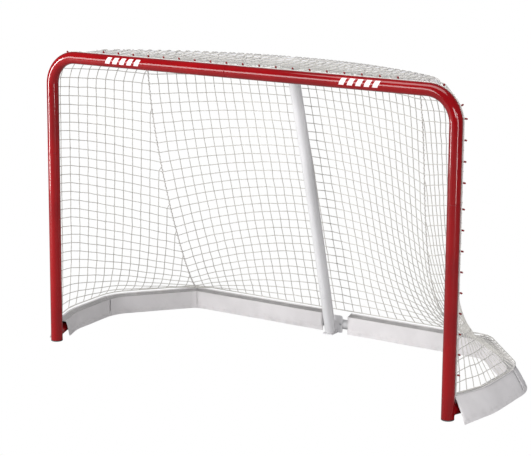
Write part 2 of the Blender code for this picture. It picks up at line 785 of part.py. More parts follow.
def between(incoming, leaving):
    """Level outward direction between two headings, and how much it lengthens there."""
    incoming, leaving = level_outward(incoming), level_outward(leaving)
    outward = (incoming + leaving).normalized()
    return outward, 1 / outward.dot(incoming)


def seam_outward(distance):
    """The same at a seam along the base tube, shared by the skirts that meet there."""
    reach = SKIRT_SHORTEST + SKIRT_GAP
    return between(place_on(BASE, distance - reach)[1], place_on(BASE, distance + reach)[1])


def skirt(name, side, first, last, splay):
    """Folded canvas over the base tube: an upright inner leg and a splayed outer one."""
    path = fine_path(cut_path(BASE, first, last, SKIRT_SHORTEST), SKIRT_STATION)
    length = path_length(path)
    travelled = 0.0
    rows = []
    before = path[0]
    for index, place in enumerate(path):
        travelled += (place - before).length
        if 0 < index < len(path) - 1:
            outward, widen = between(place - before, path[index + 1] - place)
        else:
            outward, widen = seam_outward(last + SKIRT_GAP if index else first - SKIRT_GAP)
        before = place
        profile = [(-SKIRT_INNER, 0.0), (-SKIRT_INNER, SKIRT_FOLD_Z),
                   (0.0, SKIRT_TOP_Z - SKIRT_THICKNESS), (splay(travelled / length), 0.0)]
        rows.append([Vector((place.x, place.y, z)) + outward * (n * widen)
                     for n, z in profile])
    if side < 0:
        rows = [mirrored(row) for row in rows]
    panel = sheet(name, rows, SKIRT_THICKNESS, CANVAS, even=True)
    floor = box(name + "_floor_trim", (-1.3, -1.3, -0.05), (1.3, 1.3, 0.0))
    combine(panel, "DIFFERENCE", floor)
    return panel


def side_splay(share):
    """Widest at the front end, beside the post."""
    return SKIRT_SPLAY + SKIRT_SPLAY_EXTRA * (1 - share) ** 3


def plain_splay(share):
    return SKIRT_SPLAY


def base_lacing(side, name):
    """The cord that ties net and skirt to the base tube, wound round it."""
    start = BASE_STUB_LENGTH + 0.035
    end = BASE_LENGTH - BRACKET_HALF_WIDTH - 0.02
    turns = int((end - start) / LACING_PITCH)
    radius = REAR_R + LACING_RADIUS + ROPE_FIT
    per_turn = 6
    points = []
    for index in range(turns * per_turn + 1):
        place, heading = place_on(BASE, start + LACING_PITCH * index / per_turn)
        angle = 2 * math.pi * index / per_turn
        outward = level_outward(heading)
        reach = radius / math.cos(math.pi / per_turn)
        points.append(place + (outward * math.cos(angle)
                               + Vector((0, 0, 1)) * math.sin(angle)) * reach)
    if side < 0:
        points = mirrored(points)
    return rod(name, points, LACING_RADIUS, ROPE, 6)


# -------------------------------------------------------------------- assembly

def build():
    bodies = {}
    joints = {"left": BAR_JOINT_X - TOUCH / 2, "right": BAR_JOINT_X + TOUCH / 2}
    for word, side in (("left", -1), ("right", 1)):
        bodies[f"{word}_corner_tube"] = corner_tube(side, f"{word}_corner_tube", joints[word])
        bodies[f"{word}_lower_post"] = lower_post(side, f"{word}_lower_post")
        half = SLEEVE_LENGTH / 2
        path = post_path(side, POST_JOINT_Z - half, POST_JOINT_Z + half)
        bodies[f"{word}_post_sleeve"] = sleeve(f"{word}_post_sleeve", path, FRONT_BORE)
        foot_plug(side, f"{word}_foot_plug")
        flip = mirrored if side < 0 else list
        for part, axis, stub, length in (("base", BASE, BASE_STUB_LENGTH, BASE_LENGTH),
                                         ("shelf", SHELF, SHELF_STUB_LENGTH, SHELF_LENGTH)):
            name = f"{word}_{part}_tube"
            path = flip(cut_path(axis, stub + TOUCH, length - TOUCH / 2))
            bodies[name] = rear_tube(name, path)
            name = f"{word}_{part}_sleeve"
            path = flip(cut_path(axis, stub - 0.030, stub + 0.050))
            bodies[name] = sleeve(name, path, REAR_BORE)
        side_net(side, f"net_{word}_side")
        seam_cord(side, f"{word}_seam_cord")
        base_lacing(side, f"{word}_base_lacing")

    reach = SLEEVE_LENGTH / 2
    bar = [Vector((BAR_JOINT_X + x, FRONT_Y, BAR_Z)) for x in (-reach, reach)]
    bodies["crossbar_sleeve"] = sleeve("crossbar_sleeve", bar, FRONT_BORE)
    for part, loop, length in (("base", BASE_LOOP, BASE_LENGTH),
                               ("shelf", SHELF_LOOP, SHELF_LENGTH)):
        name = f"rear_{part}_sleeve"
        bodies[name] = sleeve(name, cut_path(loop, length - reach, length + reach), REAR_BORE)

    centre_pole()
    bodies["pole_top_saddle"] = pole_top_saddle()
    bodies["pole_foot_bracket"] = pole_foot_bracket()
    add_screws(bodies)
    back_net()
    top_net()
    border_rope()
    add_skirts()


def add_screws(bodies):
    bite = FRONT_WALL + SLEEVE_WALL + SLEEVE_FIT + 0.004
    inset = SLEEVE_LENGTH / 4
    for word, shift in (("left", -inset), ("right", inset)):
        screw(f"crossbar_{word}_screw",
              (BAR_JOINT_X + shift, FRONT_Y + FRONT_R, BAR_Z), (0, -1, 0), bite,
              bodies[f"{word}_corner_tube"], bodies["crossbar_sleeve"])
    for word, side in (("left", -1), ("right", 1)):
        for level, tube, shift in (("upper", "corner_tube", inset),
                                   ("lower", "lower_post", -inset)):
            screw(f"{word}_post_{level}_screw",
                  (side * POST_X, FRONT_Y + FRONT_R, POST_JOINT_Z + shift), (0, -1, 0), bite,
                  bodies[f"{word}_{tube}"], bodies[f"{word}_post_sleeve"])
        for part, axis, stub in (("base", BASE, BASE_STUB_LENGTH),
                                 ("shelf", SHELF, SHELF_STUB_LENGTH)):
            place = place_on(axis, stub + 0.022)[0]
            up = 1 if part == "base" else -1
            seat = (side * place.x, place.y, place.z + up * REAR_R)
            screw(f"{word}_{part}_screw", seat, (0, 0, -up), bite,
                  bodies[f"{word}_{part}_tube"], bodies[f"{word}_{part}_sleeve"])
        heading = Vector((0, 1, 1)).normalized()
        seat = Vector((side * SADDLE_SCREW_X, SHELF_Y, BAR_Z))
        seat -= heading * (REAR_R + 0.0010 + BRACKET_PLATE)
        screw(f"pole_top_{word}_screw", seat, heading, bite + BRACKET_PLATE,
              bodies["pole_top_saddle"], bodies[f"{word}_shelf_tube"],
              bodies["rear_shelf_sleeve"])
        front = BASE_Y - REAR_R - TOUCH - BRACKET_PLATE
        screw(f"pole_foot_{word}_bolt", (side * FOOT_BOLT_X, front, FOOT_BOLT_Z), (0, 1, 0),
              bite + BRACKET_PLATE + 0.002, bodies["pole_foot_bracket"],
              bodies[f"{word}_base_tube"], bodies["rear_base_sleeve"])


def add_skirts():
    corner = seam_base_distance()
    bend = BASE_BEND_DEPTH - SKIRT_SEAM_LEAD
    for word, side in (("left", -1), ("right", 1)):
        notch = BRACKET_HALF_WIDTH + (0.006 if side < 0 else 0.030)
        skirt(f"{word}_side_skirt", side, SKIRT_START, bend - SKIRT_GAP, side_splay)
        skirt(f"{word}_corner_skirt", side, bend + SKIRT_GAP, corner - SKIRT_GAP,
              plain_splay)
        skirt(f"{word}_rear_skirt", side, corner + SKIRT_GAP, BASE_LENGTH - notch,
              plain_splay)


build()
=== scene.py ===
"""Ice hockey goal: finished tubes, net, cords and canvas around the frame of its parts.

The file is laid out as an add-on.  Its sizes and colours are properties, each group
of like pieces has its own operator, and one panel lists them.  All places are in
metres: +Z is up, -Y is the open front and +X is to the right of a player who looks in.
"""
import math
import random

import bpy
import numpy as np
from bpy.props import FloatProperty, FloatVectorProperty, IntProperty, PointerProperty
from mathutils import Matrix, Vector


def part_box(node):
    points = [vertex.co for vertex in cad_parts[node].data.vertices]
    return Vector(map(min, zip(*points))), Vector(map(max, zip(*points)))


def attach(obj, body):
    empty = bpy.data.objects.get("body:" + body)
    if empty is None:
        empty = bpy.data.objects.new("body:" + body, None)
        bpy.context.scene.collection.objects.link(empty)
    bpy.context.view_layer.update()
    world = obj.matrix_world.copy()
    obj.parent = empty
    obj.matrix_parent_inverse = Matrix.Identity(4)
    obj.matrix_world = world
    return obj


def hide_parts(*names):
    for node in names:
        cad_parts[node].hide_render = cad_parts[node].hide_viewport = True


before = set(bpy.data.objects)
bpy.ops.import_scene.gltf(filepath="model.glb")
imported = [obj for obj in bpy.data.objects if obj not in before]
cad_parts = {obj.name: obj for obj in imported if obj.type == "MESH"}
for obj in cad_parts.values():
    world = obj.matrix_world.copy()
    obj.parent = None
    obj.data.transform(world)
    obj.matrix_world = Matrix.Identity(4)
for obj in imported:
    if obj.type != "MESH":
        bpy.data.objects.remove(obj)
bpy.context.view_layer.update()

bl_info = {
    "name": "Ice Hockey Goal",
    "version": (1, 0, 0),
    "blender": (4, 5, 0),
    "location": "3D View > Sidebar > Goal",
    "description": "Builds the finished pieces of a knock-down ice hockey goal",
    "category": "Add Mesh",
}


def middle(node):
    low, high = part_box(node)
    return (low + high) / 2


RIGHT_FOOT = middle("right_foot_plug")
BAR_JOINT = middle("crossbar_sleeve")
POST_X, FRONT_Y, BAR_Z = RIGHT_FOOT.x, RIGHT_FOOT.y, BAR_JOINT.z
POST_JOINT_Z = middle("right_post_sleeve").z
BASE_JOINT = middle("rear_base_sleeve")
BASE_Y, BASE_AXIS_Z = BASE_JOINT.y, BASE_JOINT.z
NET_FOOT_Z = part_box("net_back")[0].z + 0.0003
PLATE_LOW, PLATE_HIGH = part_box("pole_foot_bracket")
SADDLE_LOW, SADDLE_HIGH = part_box("pole_top_saddle")
SIDES = (("left", -1), ("right", 1))
JOINT_GAP = 0.00015             # half the gap between tubes that meet end to end
BASE_BEND_RADII = (0.25, 0.20, 0.10)
BASE_KNEE_TUCK = 0.012          # the flare ends this far inside the widest point
BAR_PEG_END = 0.720             # the outermost crossbar peg is inside this
BEND_PEG_DEGREES = (22, 62)     # round the bend from the crossbar
UPPER_PEG_Z = 1.145
LOWER_PEG_Z = 0.808
LOWER_PEG_COUNT = 9
STRIPE_CENTRES = {-1: -0.559, 1: 0.542}
STRIPE_COUNT = 5
STRIPE_PITCH = 0.036
STRIPE_WIDTH = 0.022
STRIPE_SLANT = 0.012
STRIPE_STEPS = 8
SPIGOT_LENGTH = 0.034
SPIGOT_INSET = 0.0028           # spigot's radius less than the pole's
BRACKET_PLATE = 0.003
LACING_PITCH = 0.150
LACING_START = 0.035            # beyond the red stub
BRACKET_HALF_WIDTH = 0.045
LACING_END = BRACKET_HALF_WIDTH + 0.02
WHIPPING_PITCH = 0.019          # of the thin cord round a seam
UP = Vector((0, 0, 1))
BACK = Vector((0, 1, 0))


# ------------------------------------------------------------- sizes and colours

def size(name, default, description):
    return FloatProperty(name=name, default=default, description=description,
                         unit="LENGTH", subtype="DISTANCE", min=0.0, precision=4)


def colour(name, default, description):
    return FloatVectorProperty(name=name, default=default, description=description,
                               subtype="COLOR", size=3, min=0.0, max=1.0)


class GoalFrameSizes(bpy.types.PropertyGroup):
    """Sizes of the steel tubes."""
    front_diameter: size("Front tube", 0.0508, "Outside diameter of posts and crossbar")
    front_wall: size("Front wall", 0.0025, "Wall of the posts and crossbar")
    rear_diameter: size("Rear tube", 0.0422, "Outside diameter of shelf and base tubes")
    rear_wall: size("Rear wall", 0.0023, "Wall of the shelf and base tubes")
    pole_diameter: size("Centre pole", 0.0483, "Outside diameter of the centre pole")
    pole_bow: size("Pole bow", 0.010, "How far the centre pole bends back halfway up")
    corner_radius: size("Corner radius", 0.120, "Bend from post to crossbar, on the axis")
    base_flare: size("Base flare", 0.075, "Widest point of the base beyond the post axis")
    base_knee: size("Base knee", 0.170, "Depth at which the flare ends")
    base_bend: size("Base bend", 0.480, "Depth at which the side turns to the diagonal")
    base_corner: size("Base corner", 0.745, "From the middle to the rear corner")
    base_stub: size("Base stub", 0.100, "Red stub that carries the base tube")
    shelf_depth: size("Shelf depth", 0.400, "Crossbar axis to the shelf's rear axis")
    shelf_end: size("Shelf end", 0.800, "From the middle to the shelf's stub")
    shelf_radius: size("Shelf bend", 1.350, "Long bend of the shelf")
    shelf_end_radius: size("Shelf end bend", 0.130, "Short bend beside the stub")
    shelf_stub: size("Shelf stub", 0.058, "Red stub that carries the shelf tube")
    peg_diameter: size("Peg wire", 0.0072, "Diameter of the bent net pegs")
    peg_reach: size("Peg reach", 0.0130, "How far a peg stands off its tube")
    peg_tip: size("Peg tip", 0.0090, "Length of the peg's turned end")
    peg_pitch_post: size("Post peg pitch", 0.0795, "Between pegs on the posts")
    peg_pitch_bar: size("Crossbar peg pitch", 0.0762, "Between pegs on the crossbar")
    weld: size("Weld bead", 0.0026, "Radius of the weld round each stub")


class GoalNetSizes(bpy.types.PropertyGroup):
    """Sizes of the net and its cords."""
    mesh: size("Mesh", 0.0385, "Side of one square of the net")
    twine: size("Twine", 0.0036, "Diameter of the net twine")
    knot: size("Knot", 0.0064, "Width of one knot")
    rope: size("Border rope", 0.0050, "Diameter of the rope on the front pegs")
    seam: size("Seam cord", 0.0040, "Diameter of the cord along each seam")
    lacing: size("Lacing", 0.0036, "Diameter of the cord round the base tube")
    unevenness: size("Unevenness", 0.0013, "How far a knot strays from its place")
    shelf_clearance: size("Shelf clearance", 0.0098, "Shelf tube to the net beside it")
    top_sag: size("Top sag", 0.010, "Sag of the net over the shelf")
    flare_power: FloatProperty(name="Flare power", default=5.0, min=1.0, max=12.0,
                               description="How closely the flare keeps to the base tube")
    seam_delay: FloatProperty(name="Seam delay", default=0.41, min=0.0, max=1.0,
                              description="How much the rows lag where they cross a seam")
    left_evenness: FloatProperty(name="Left evenness", default=0.2, min=0.0, max=1.0,
                                 description="0 hangs columns upright, 1 spaces them evenly")
    right_evenness: FloatProperty(name="Right evenness", default=1.0, min=0.0, max=1.0,
                                  description="0 hangs columns upright, 1 spaces them evenly")
    arch: size("Arch", 0.060, "How far the side net's lower rows rise beside the post")


class GoalSkirtSizes(bpy.types.PropertyGroup):
    """Sizes of the canvas skirts."""
    cloth: size("Canvas", 0.0020, "Thickness of the coated canvas")
    inner: size("Inner leg", 0.0310, "From the base tube's axis to the inner leg")
    fold: size("Fold height", 0.0785, "Top of the upright inner leg")
    ridge: size("Ridge height", 0.0890, "Highest line of the skirt")
    start: size("Start", 0.032, "Along the base tube from the post to the first skirt")
    slant: size("Outer slant", 0.022, "How far the right skirt's outer leg reaches forward")
    cut_back: size("Inner slant", 0.050, "How far a side skirt's inner leg is cut back")
    tucked: size("Tucked splay", 0.042, "Splay of the left skirt beside its post")
    splay: size("Splay", 0.050, "Foot of the outer leg from the base tube's axis")
    splay_front: size("Splay beside the post", 0.082, "The same at a side skirt's front end")
    hem: size("Hem", 0.018, "Width of the sewn hem")
    ripple: size("Ripple", 0.0022, "How far the canvas waves")
    stitch: size("Stitch", 0.0050, "Length of one stitch")


class GoalColours(bpy.types.PropertyGroup):
    """Colours of the finishes."""
    red: colour("Red", (0.255, 0.0006, 0.0024), "Powder coat of the front frame")
    red_deep: colour("Deep red", (0.20, 0.0005, 0.0024), "Where the powder coat lies thicker")
    grey: colour("Light grey", (0.68, 0.67, 0.68), "Powder coat of the rear frame")
    zinc: colour("Zinc", (0.62, 0.62, 0.64), "Plated screws and sleeves")
    black: colour("Black", (0.022, 0.022, 0.024), "Moulded foot plugs")
    twine: colour("Twine", (0.62, 0.60, 0.56), "Net twine")
    # The dark grey of the tape over the skirt's fold is painted shade: it stands in for the
    # shade along the sloping top under the net.
    rope: colour("Rope", (0.66, 0.63, 0.60), "Braided cords")
    canvas: colour("Canvas", (0.66, 0.635, 0.64), "Coated canvas")
    shade_tape: colour("Tape", (0.36, 0.345, 0.34), "Binding tape")
    thread: colour("Thread", (0.72, 0.70, 0.68), "Sewing thread")
    stripe: colour("Stripe", (0.80, 0.70, 0.70), "Plain stripes on the crossbar")
    floor: colour("Floor", (1.0, 1.0, 1.0), "Floor and surroundings")


class GoalStudio(bpy.types.PropertyGroup):
    """Camera and lights."""
    camera: FloatVectorProperty(name="Camera", size=3, subtype="XYZ", unit="LENGTH",
                                default=(3.494, FRONT_Y - 5.406, 2.084),
                                description="Where the camera stands")
    yaw: FloatProperty(name="Yaw", default=math.radians(31.94), subtype="ANGLE",
                       description="Turn of the camera to the left of straight back")
    pitch: FloatProperty(name="Pitch", default=math.radians(-10.73), subtype="ANGLE",
                         description="Tilt of the camera above the horizon")
    roll: FloatProperty(name="Roll", default=math.radians(-0.43), subtype="ANGLE",
                        description="Turn of the camera about its own line of sight")
    lens: FloatProperty(name="Lens", default=112.07, subtype="DISTANCE_CAMERA",
                        description="Focal length on a 36 mm sensor")
    shift: FloatProperty(name="Shift", default=-0.113, subtype="FACTOR",
                         description="Upright shift of the picture")
    key: FloatProperty(name="Bar light", default=290.0, subtype="POWER",
                       description="Power of the softbox that lines the crossbar")
    fill: FloatProperty(name="Fill light", default=145.0, subtype="POWER",
                        description="Power of the softbox beside the camera")
    top: FloatProperty(name="Top light", default=110.0, subtype="POWER",
                       description="Power of the softbox overhead")
    side: FloatProperty(name="Side light", default=110.0, subtype="POWER",
                        description="Power of each strip beside the goal")
    room: FloatProperty(name="Room", default=0.38, min=0.0, max=2.0, subtype="FACTOR",
                        description="Brightness of the room's even light")
    tube_sides: IntProperty(name="Tube sides", default=40, min=8, max=96,
                            description="Flat sides round each tube")


# ------------------------------------------------------------------- finishes

class Level:
    """A value or colour in a finish, on which plain arithmetic can be written."""

    def __init__(self, recipe, socket):
        self.recipe, self.socket = recipe, socket

    def _sum(self, operation, *terms):
        made = self.recipe.add("ShaderNodeMath", {"operation": operation},
                               dict(enumerate(terms)))
        return Level(self.recipe, made.outputs[0])

    def __add__(self, other):
        return self._sum("ADD", self, other)

    __radd__ = __add__

    def __sub__(self, other):
        return self._sum("SUBTRACT", self, other)

    def __rsub__(self, other):
        return self._sum("SUBTRACT", other, self)

    def __mul__(self, other):
        return self._sum("MULTIPLY", self, other)

    __rmul__ = __mul__

    def __truediv__(self, other):
        return self._sum("DIVIDE", self, other)

    def wave(self):
        """A wave between 0 and 1 that repeats each time the value grows by 1."""
        return self._sum("SINE", self * math.tau) * 0.5 + 0.5

    def fade(self, low, high):
        """0 below low and 1 above high, with a soft step between."""
        made = self.recipe.add("ShaderNodeMapRange", {"interpolation_type": "SMOOTHSTEP"},
                               {"Value": self, "From Min": low, "From Max": high})
        return Level(self.recipe, made.outputs["Result"])

    def larger(self, other):
        return self._sum("MAXIMUM", self, other)


class Recipe:
    """The nodes of one finish on a Principled shader."""

    def __init__(self, name, **fixed):
        self.material = bpy.data.materials.new(name)
        self.material.use_nodes = True
        self.tree = self.material.node_tree
        self.shader = self.tree.nodes["Principled BSDF"]
        for socket, value in fixed.items():
            self.shader.inputs[socket.replace("_", " ")].default_value = value
        self.place = Level(self, self.add("ShaderNodeTexCoord").outputs["Object"])

    def add(self, kind, settings=None, sockets=None):
        node = self.tree.nodes.new(kind)
        for setting, value in (settings or {}).items():
            setattr(node, setting, value)
        for key, value in (sockets or {}).items():
            if isinstance(value, Level):
                self.tree.links.new(value.socket, node.inputs[key])
            else:
                node.inputs[key].default_value = value
        return node

    def noise(self, scale, detail=2.0, place=None):
        made = self.add("ShaderNodeTexNoise", None,
                        {"Vector": place or self.place, "Scale": scale, "Detail": detail})
        return Level(self, made.outputs[0])

    def cells(self, scale):
        made = self.add("ShaderNodeTexVoronoi", None, {"Vector": self.place, "Scale": scale})
        parts = self.add("ShaderNodeSeparateColor", None,
                         {"Color": Level(self, made.outputs["Color"])})
        return Level(self, parts.outputs[0])

    def lay(self):
        """Round the strand, and metres along it; or metres across and along a cloth."""
        made = self.add("ShaderNodeUVMap", {"uv_map": "lay"})
        parts = self.add("ShaderNodeSeparateXYZ", None, {0: Level(self, made.outputs[0])})
        return Level(self, parts.outputs[0]), Level(self, parts.outputs[1])

    def height(self):
        parts = self.add("ShaderNodeSeparateXYZ", None, {0: self.place})
        return Level(self, parts.outputs["Z"])

    def blend(self, share, first, second):
        sockets = {"Factor": share}
        for key, value in ((6, first), (7, second)):
            sockets[key] = value if isinstance(value, Level) else (*value, 1.0)
        made = self.add("ShaderNodeMix", {"data_type": "RGBA"}, sockets)
        return Level(self, made.outputs[2])

    def relief(self, height, depth, under=None):
        sockets = {"Height": height, "Distance": depth}
        if under:
            sockets["Normal"] = under
        return Level(self, self.add("ShaderNodeBump", None, sockets).outputs[0])

    def finish(self, base, roughness, normal):
        for socket, value in (("Base Color", base), ("Roughness", roughness),
                              ("Normal", normal)):
            self.tree.links.new(value.socket, self.shader.inputs[socket])
        return self.material


def darker(tone, share):
    return tuple(channel * share for channel in tone)


def red_powder_coat(colours):
    recipe = Recipe("red_powder_coat", Coat_Weight=0.90, Coat_Roughness=0.06,
                    Specular_IOR_Level=0.03)
    drift = recipe.noise(4.0).fade(0.35, 0.65)
    rub = recipe.noise(90.0, 6.0).fade(0.60, 0.74) * recipe.noise(7.0).fade(0.52, 0.66)
    base = recipe.blend(drift, colours.red, colours.red_deep)
    base = recipe.blend(rub * 0.30, base, (0.42, 0.02, 0.02))
    peel = recipe.noise(420.0, 1.0)
    rough = recipe.noise(30.0) * 0.08 + 0.26 + rub * 0.16
    return recipe.finish(base, rough, recipe.relief(peel, 0.00022))


def grey_powder_coat(colours):
    recipe = Recipe("light_grey_powder_coat", Coat_Weight=0.25, Coat_Roughness=0.2)
    drift = recipe.noise(5.0).fade(0.3, 0.7)
    scuff = recipe.noise(120.0, 6.0).fade(0.62, 0.72) * recipe.noise(9.0).fade(0.5, 0.65)
    base = recipe.blend(drift, colours.grey, darker(colours.grey, 0.93))
    base = recipe.blend(scuff * 0.5, base, darker(colours.grey, 0.6))
    rough = recipe.noise(45.0) * 0.10 + 0.34 + scuff * 0.2
    return recipe.finish(base, rough, recipe.relief(recipe.noise(480.0, 1.0), 0.00022))


def zinc_plate(colours):
    recipe = Recipe("zinc_plated_steel", Metallic=1.0)
    spangle = recipe.cells(700.0)
    base = recipe.blend(spangle, colours.zinc, darker(colours.zinc, 0.8))
    rough = spangle * 0.12 + 0.26
    return recipe.finish(base, rough, recipe.relief(recipe.noise(900.0), 0.0001))


def black_polyethylene(colours):
    recipe = Recipe("black_polyethylene")
    worn = recipe.noise(160.0, 5.0).fade(0.55, 0.7)
    base = recipe.blend(worn, colours.black, (0.07, 0.07, 0.075))
    rough = worn * 0.15 + 0.45
    return recipe.finish(base, rough, recipe.relief(recipe.noise(1200.0), 0.0002))


def laid_twine(colours):
    """Three-strand polyester twine; the strands show as a slanting groove."""
    recipe = Recipe("white_laid_twine", Sheen_Weight=0.25)
    turn, along = recipe.lay()
    groove = (turn * 3.0 + along / 0.0075).wave()
    soil = recipe.noise(6.0, 3.0).fade(0.45, 0.75)
    base = recipe.blend(groove, darker(colours.twine, 0.7), colours.twine)
    base = recipe.blend(soil * 0.25, base, darker(colours.twine, 0.75))
    fibre = recipe.noise(2500.0, 2.0)
    rough = fibre * 0.12 + 0.74
    normal = recipe.relief(groove, 0.00045)
    return recipe.finish(base, rough, recipe.relief(fibre, 0.0001, normal))


def braided_rope(colours):
    """A braid: two sets of strands that wind opposite ways and cross."""
    recipe = Recipe("white_braided_rope", Sheen_Weight=0.25)
    turn, along = recipe.lay()
    one = (turn * 4.0 + along / 0.011).wave()
    other = (turn * 4.0 - along / 0.011).wave()
    weave = one.larger(other)
    base = recipe.blend(weave, darker(colours.rope, 0.6), colours.rope)
    fibre = recipe.noise(2200.0, 2.0)
    base = recipe.blend(fibre * 0.2, base, darker(colours.rope, 0.8))
    rough = fibre * 0.12 + 0.72
    normal = recipe.relief(weave, 0.0006)
    return recipe.finish(base, rough, recipe.relief(fibre, 0.0001, normal))


def coated_canvas(colours):
    """Plain weave under a thin coating, with grime that rises from the ice."""
    recipe = Recipe("white_coated_canvas", Coat_Weight=0.12, Coat_Roughness=0.45)
    across, along = recipe.lay()
    warp = (across / 0.0018).wave()
    weft = (along / 0.0018).wave()
    weave = warp * weft + (1 - warp) * (1 - weft)
    cloud = recipe.noise(9.0, 4.0).fade(0.35, 0.7)
    grime = (1 - recipe.height().fade(0.0, 0.045)) * recipe.noise(40.0, 6.0).fade(0.42, 0.72)
    crease = recipe.noise(26.0, 3.0)
    base = recipe.blend(cloud, colours.canvas, darker(colours.canvas, 0.93))
    base = recipe.blend(weave * 0.08, base, darker(colours.canvas, 0.7))
    base = recipe.blend(grime * 0.28, base, darker(colours.canvas, 0.55))
    rough = weave * 0.10 + 0.50 + cloud * 0.06
    normal = recipe.relief(crease, 0.0022)
    return recipe.finish(base, rough, recipe.relief(weave, 0.00025, normal))


def painted_shade_twill(colours):
    """Webbing with a slanting twill rib and a plain selvedge; its dark grey is painted shade
    along the skirt's sloping top.
    """
    recipe = Recipe("grey_painted_shade_tape", Sheen_Weight=0.2)
    across, along = recipe.lay()
    rib = ((across + along) / 0.0024).wave()
    base = recipe.blend(rib, darker(colours.shade_tape, 0.7), colours.shade_tape)
    base = recipe.blend(recipe.noise(18.0, 4.0).fade(0.4, 0.7) * 0.4, base,
                        darker(colours.shade_tape, 1.4))
    rough = rib * 0.1 + 0.7
    return recipe.finish(base, rough, recipe.relief(rib, 0.0004))


def sewing_thread(colours):
    recipe = Recipe("sewing_thread")
    turn, along = recipe.lay()
    twist = (turn * 2.0 + along / 0.0016).wave()
    base = recipe.blend(twist, darker(colours.thread, 0.6), colours.thread)
    return recipe.finish(base, twist * 0.1 + 0.6, recipe.relief(twist, 0.0001))


def stripe_film(colours):
    recipe = Recipe("stripe_film", Coat_Weight=0.3, Coat_Roughness=0.1)
    fleck = recipe.noise(300.0, 3.0).fade(0.5, 0.8)
    base = recipe.blend(fleck, colours.stripe, darker(colours.stripe, 0.85))
    return recipe.finish(base, fleck * 0.1 + 0.3, recipe.relief(fleck, 0.00005))


FINISHES = {
    "front_tube": red_powder_coat, "rear_tube": grey_powder_coat,
    "joint_steel": zinc_plate, "foot_plug": black_polyethylene, "net": laid_twine,
    "cord": braided_rope, "skirt": coated_canvas, "shade_tape": painted_shade_twill,
    "thread": sewing_thread, "stripe": stripe_film,
}
MIXED = {}


def finish_of(kind):
    if kind not in MIXED:
        MIXED[kind] = FINISHES[kind](bpy.context.scene.goal_colours)
    return MIXED[kind]


# ---------------------------------------------------------------- paths

def rounded_path(corners, radii, step=math.radians(5)):
    """A polyline through the corners, with a round bend at each inner one."""
    points = [Vector(corners[0])]
    for before, corner, after, radius in zip(corners, corners[1:], corners[2:], radii):
        corner = Vector(corner)
        back = (Vector(before) - corner).normalized()
        ahead = (Vector(after) - corner).normalized()
        turn = math.pi - back.angle(ahead)
        centre = corner + (back + ahead).normalized() * radius / math.cos(turn / 2)
        spoke = corner + back * radius * math.tan(turn / 2) - centre
        axis = (-back).cross(ahead).normalized()
        count = max(2, math.ceil(turn / step))
        for index in range(count + 1):
            points.append(centre + Matrix.Rotation(turn * index / count, 3, axis) @ spoke)
    points.append(Vector(corners[-1]))
    return points


def path_length(points):
    return sum((b - a).length for a, b in zip(points, points[1:]))


def place_on(points, distance):
    """The point and direction at a distance along a polyline."""
    for start, end in zip(points, points[1:]):
        length = (end - start).length
        if distance <= length:
            return start + (end - start) * (distance / length), (end - start) / length
        distance -= length
    return points[-1].copy(), (points[-1] - points[-2]).normalized()


def cut_path(points, first, last):
    """The stretch of a polyline between two distances along it."""
    kept = [place_on(points, first)[0]]
    travelled = 0.0
    for start, end in zip(points, points[1:]):
        travelled += (end - start).length
        if first + 1e-4 < travelled < last - 1e-4:
            kept.append(end.copy())
    kept.append(place_on(points, last)[0])
    return kept


def fine_path(points, step):
    """The same polyline with its long straight stretches divided."""
    finer = [points[0]]
    for start, end in zip(points, points[1:]):
        count = max(1, math.ceil((end - start).length / step))
        finer += [start.lerp(end, index / count) for index in range(1, count + 1)]
    return finer


def flipped(points, side):
    """The points as they are on the right, or mirrored to the left."""
    return [Vector((p.x * side, p.y, p.z)) for p in points]


def level_outward(direction):
    return Vector((direction.y, -direction.x, 0)).normalized()


def across_frame(outward, angle):
    """A direction across the front tubes, turned from outward towards the rear."""
    return outward * math.cos(angle) + BACK * math.sin(angle)


# ------------------------------------------------------------ building a piece

def directions(path):
    steps = np.diff(path, axis=0)
    steps /= np.linalg.norm(steps, axis=1)[:, None]
    ahead = np.vstack([steps[:1], steps[:-1] + steps[1:], steps[-1:]])
    return ahead / np.linalg.norm(ahead, axis=1)[:, None]


def rings_along(path, radius, sides):
    """Rings of points round a path; radius is one number, or one for each point."""
    path = np.array([tuple(p) for p in path], float)
    ahead = directions(path)
    first = np.cross(ahead[0], (0.0, 0.0, 1.0))
    if np.linalg.norm(first) < 0.1:
        first = np.cross(ahead[0], (0.0, 1.0, 0.0))
    across = []
    for heading in ahead:
        first = first - heading * (first @ heading)
        first = first / np.linalg.norm(first)
        across.append(first)
    across = np.array(across)
    over = np.cross(ahead, across)
    turn = math.tau * np.arange(sides) / sides
    ring = (across[:, None, :] * np.cos(turn)[None, :, None]
            + over[:, None, :] * np.sin(turn)[None, :, None])
    reach = np.broadcast_to(np.asarray(radius, float), len(path))
    return path[:, None, :] + ring * reach[:, None, None]


def spans(path):
    path = np.array([tuple(p) for p in path], float)
    return np.concatenate([[0.0], np.cumsum(np.linalg.norm(np.diff(path, axis=0), axis=1))])


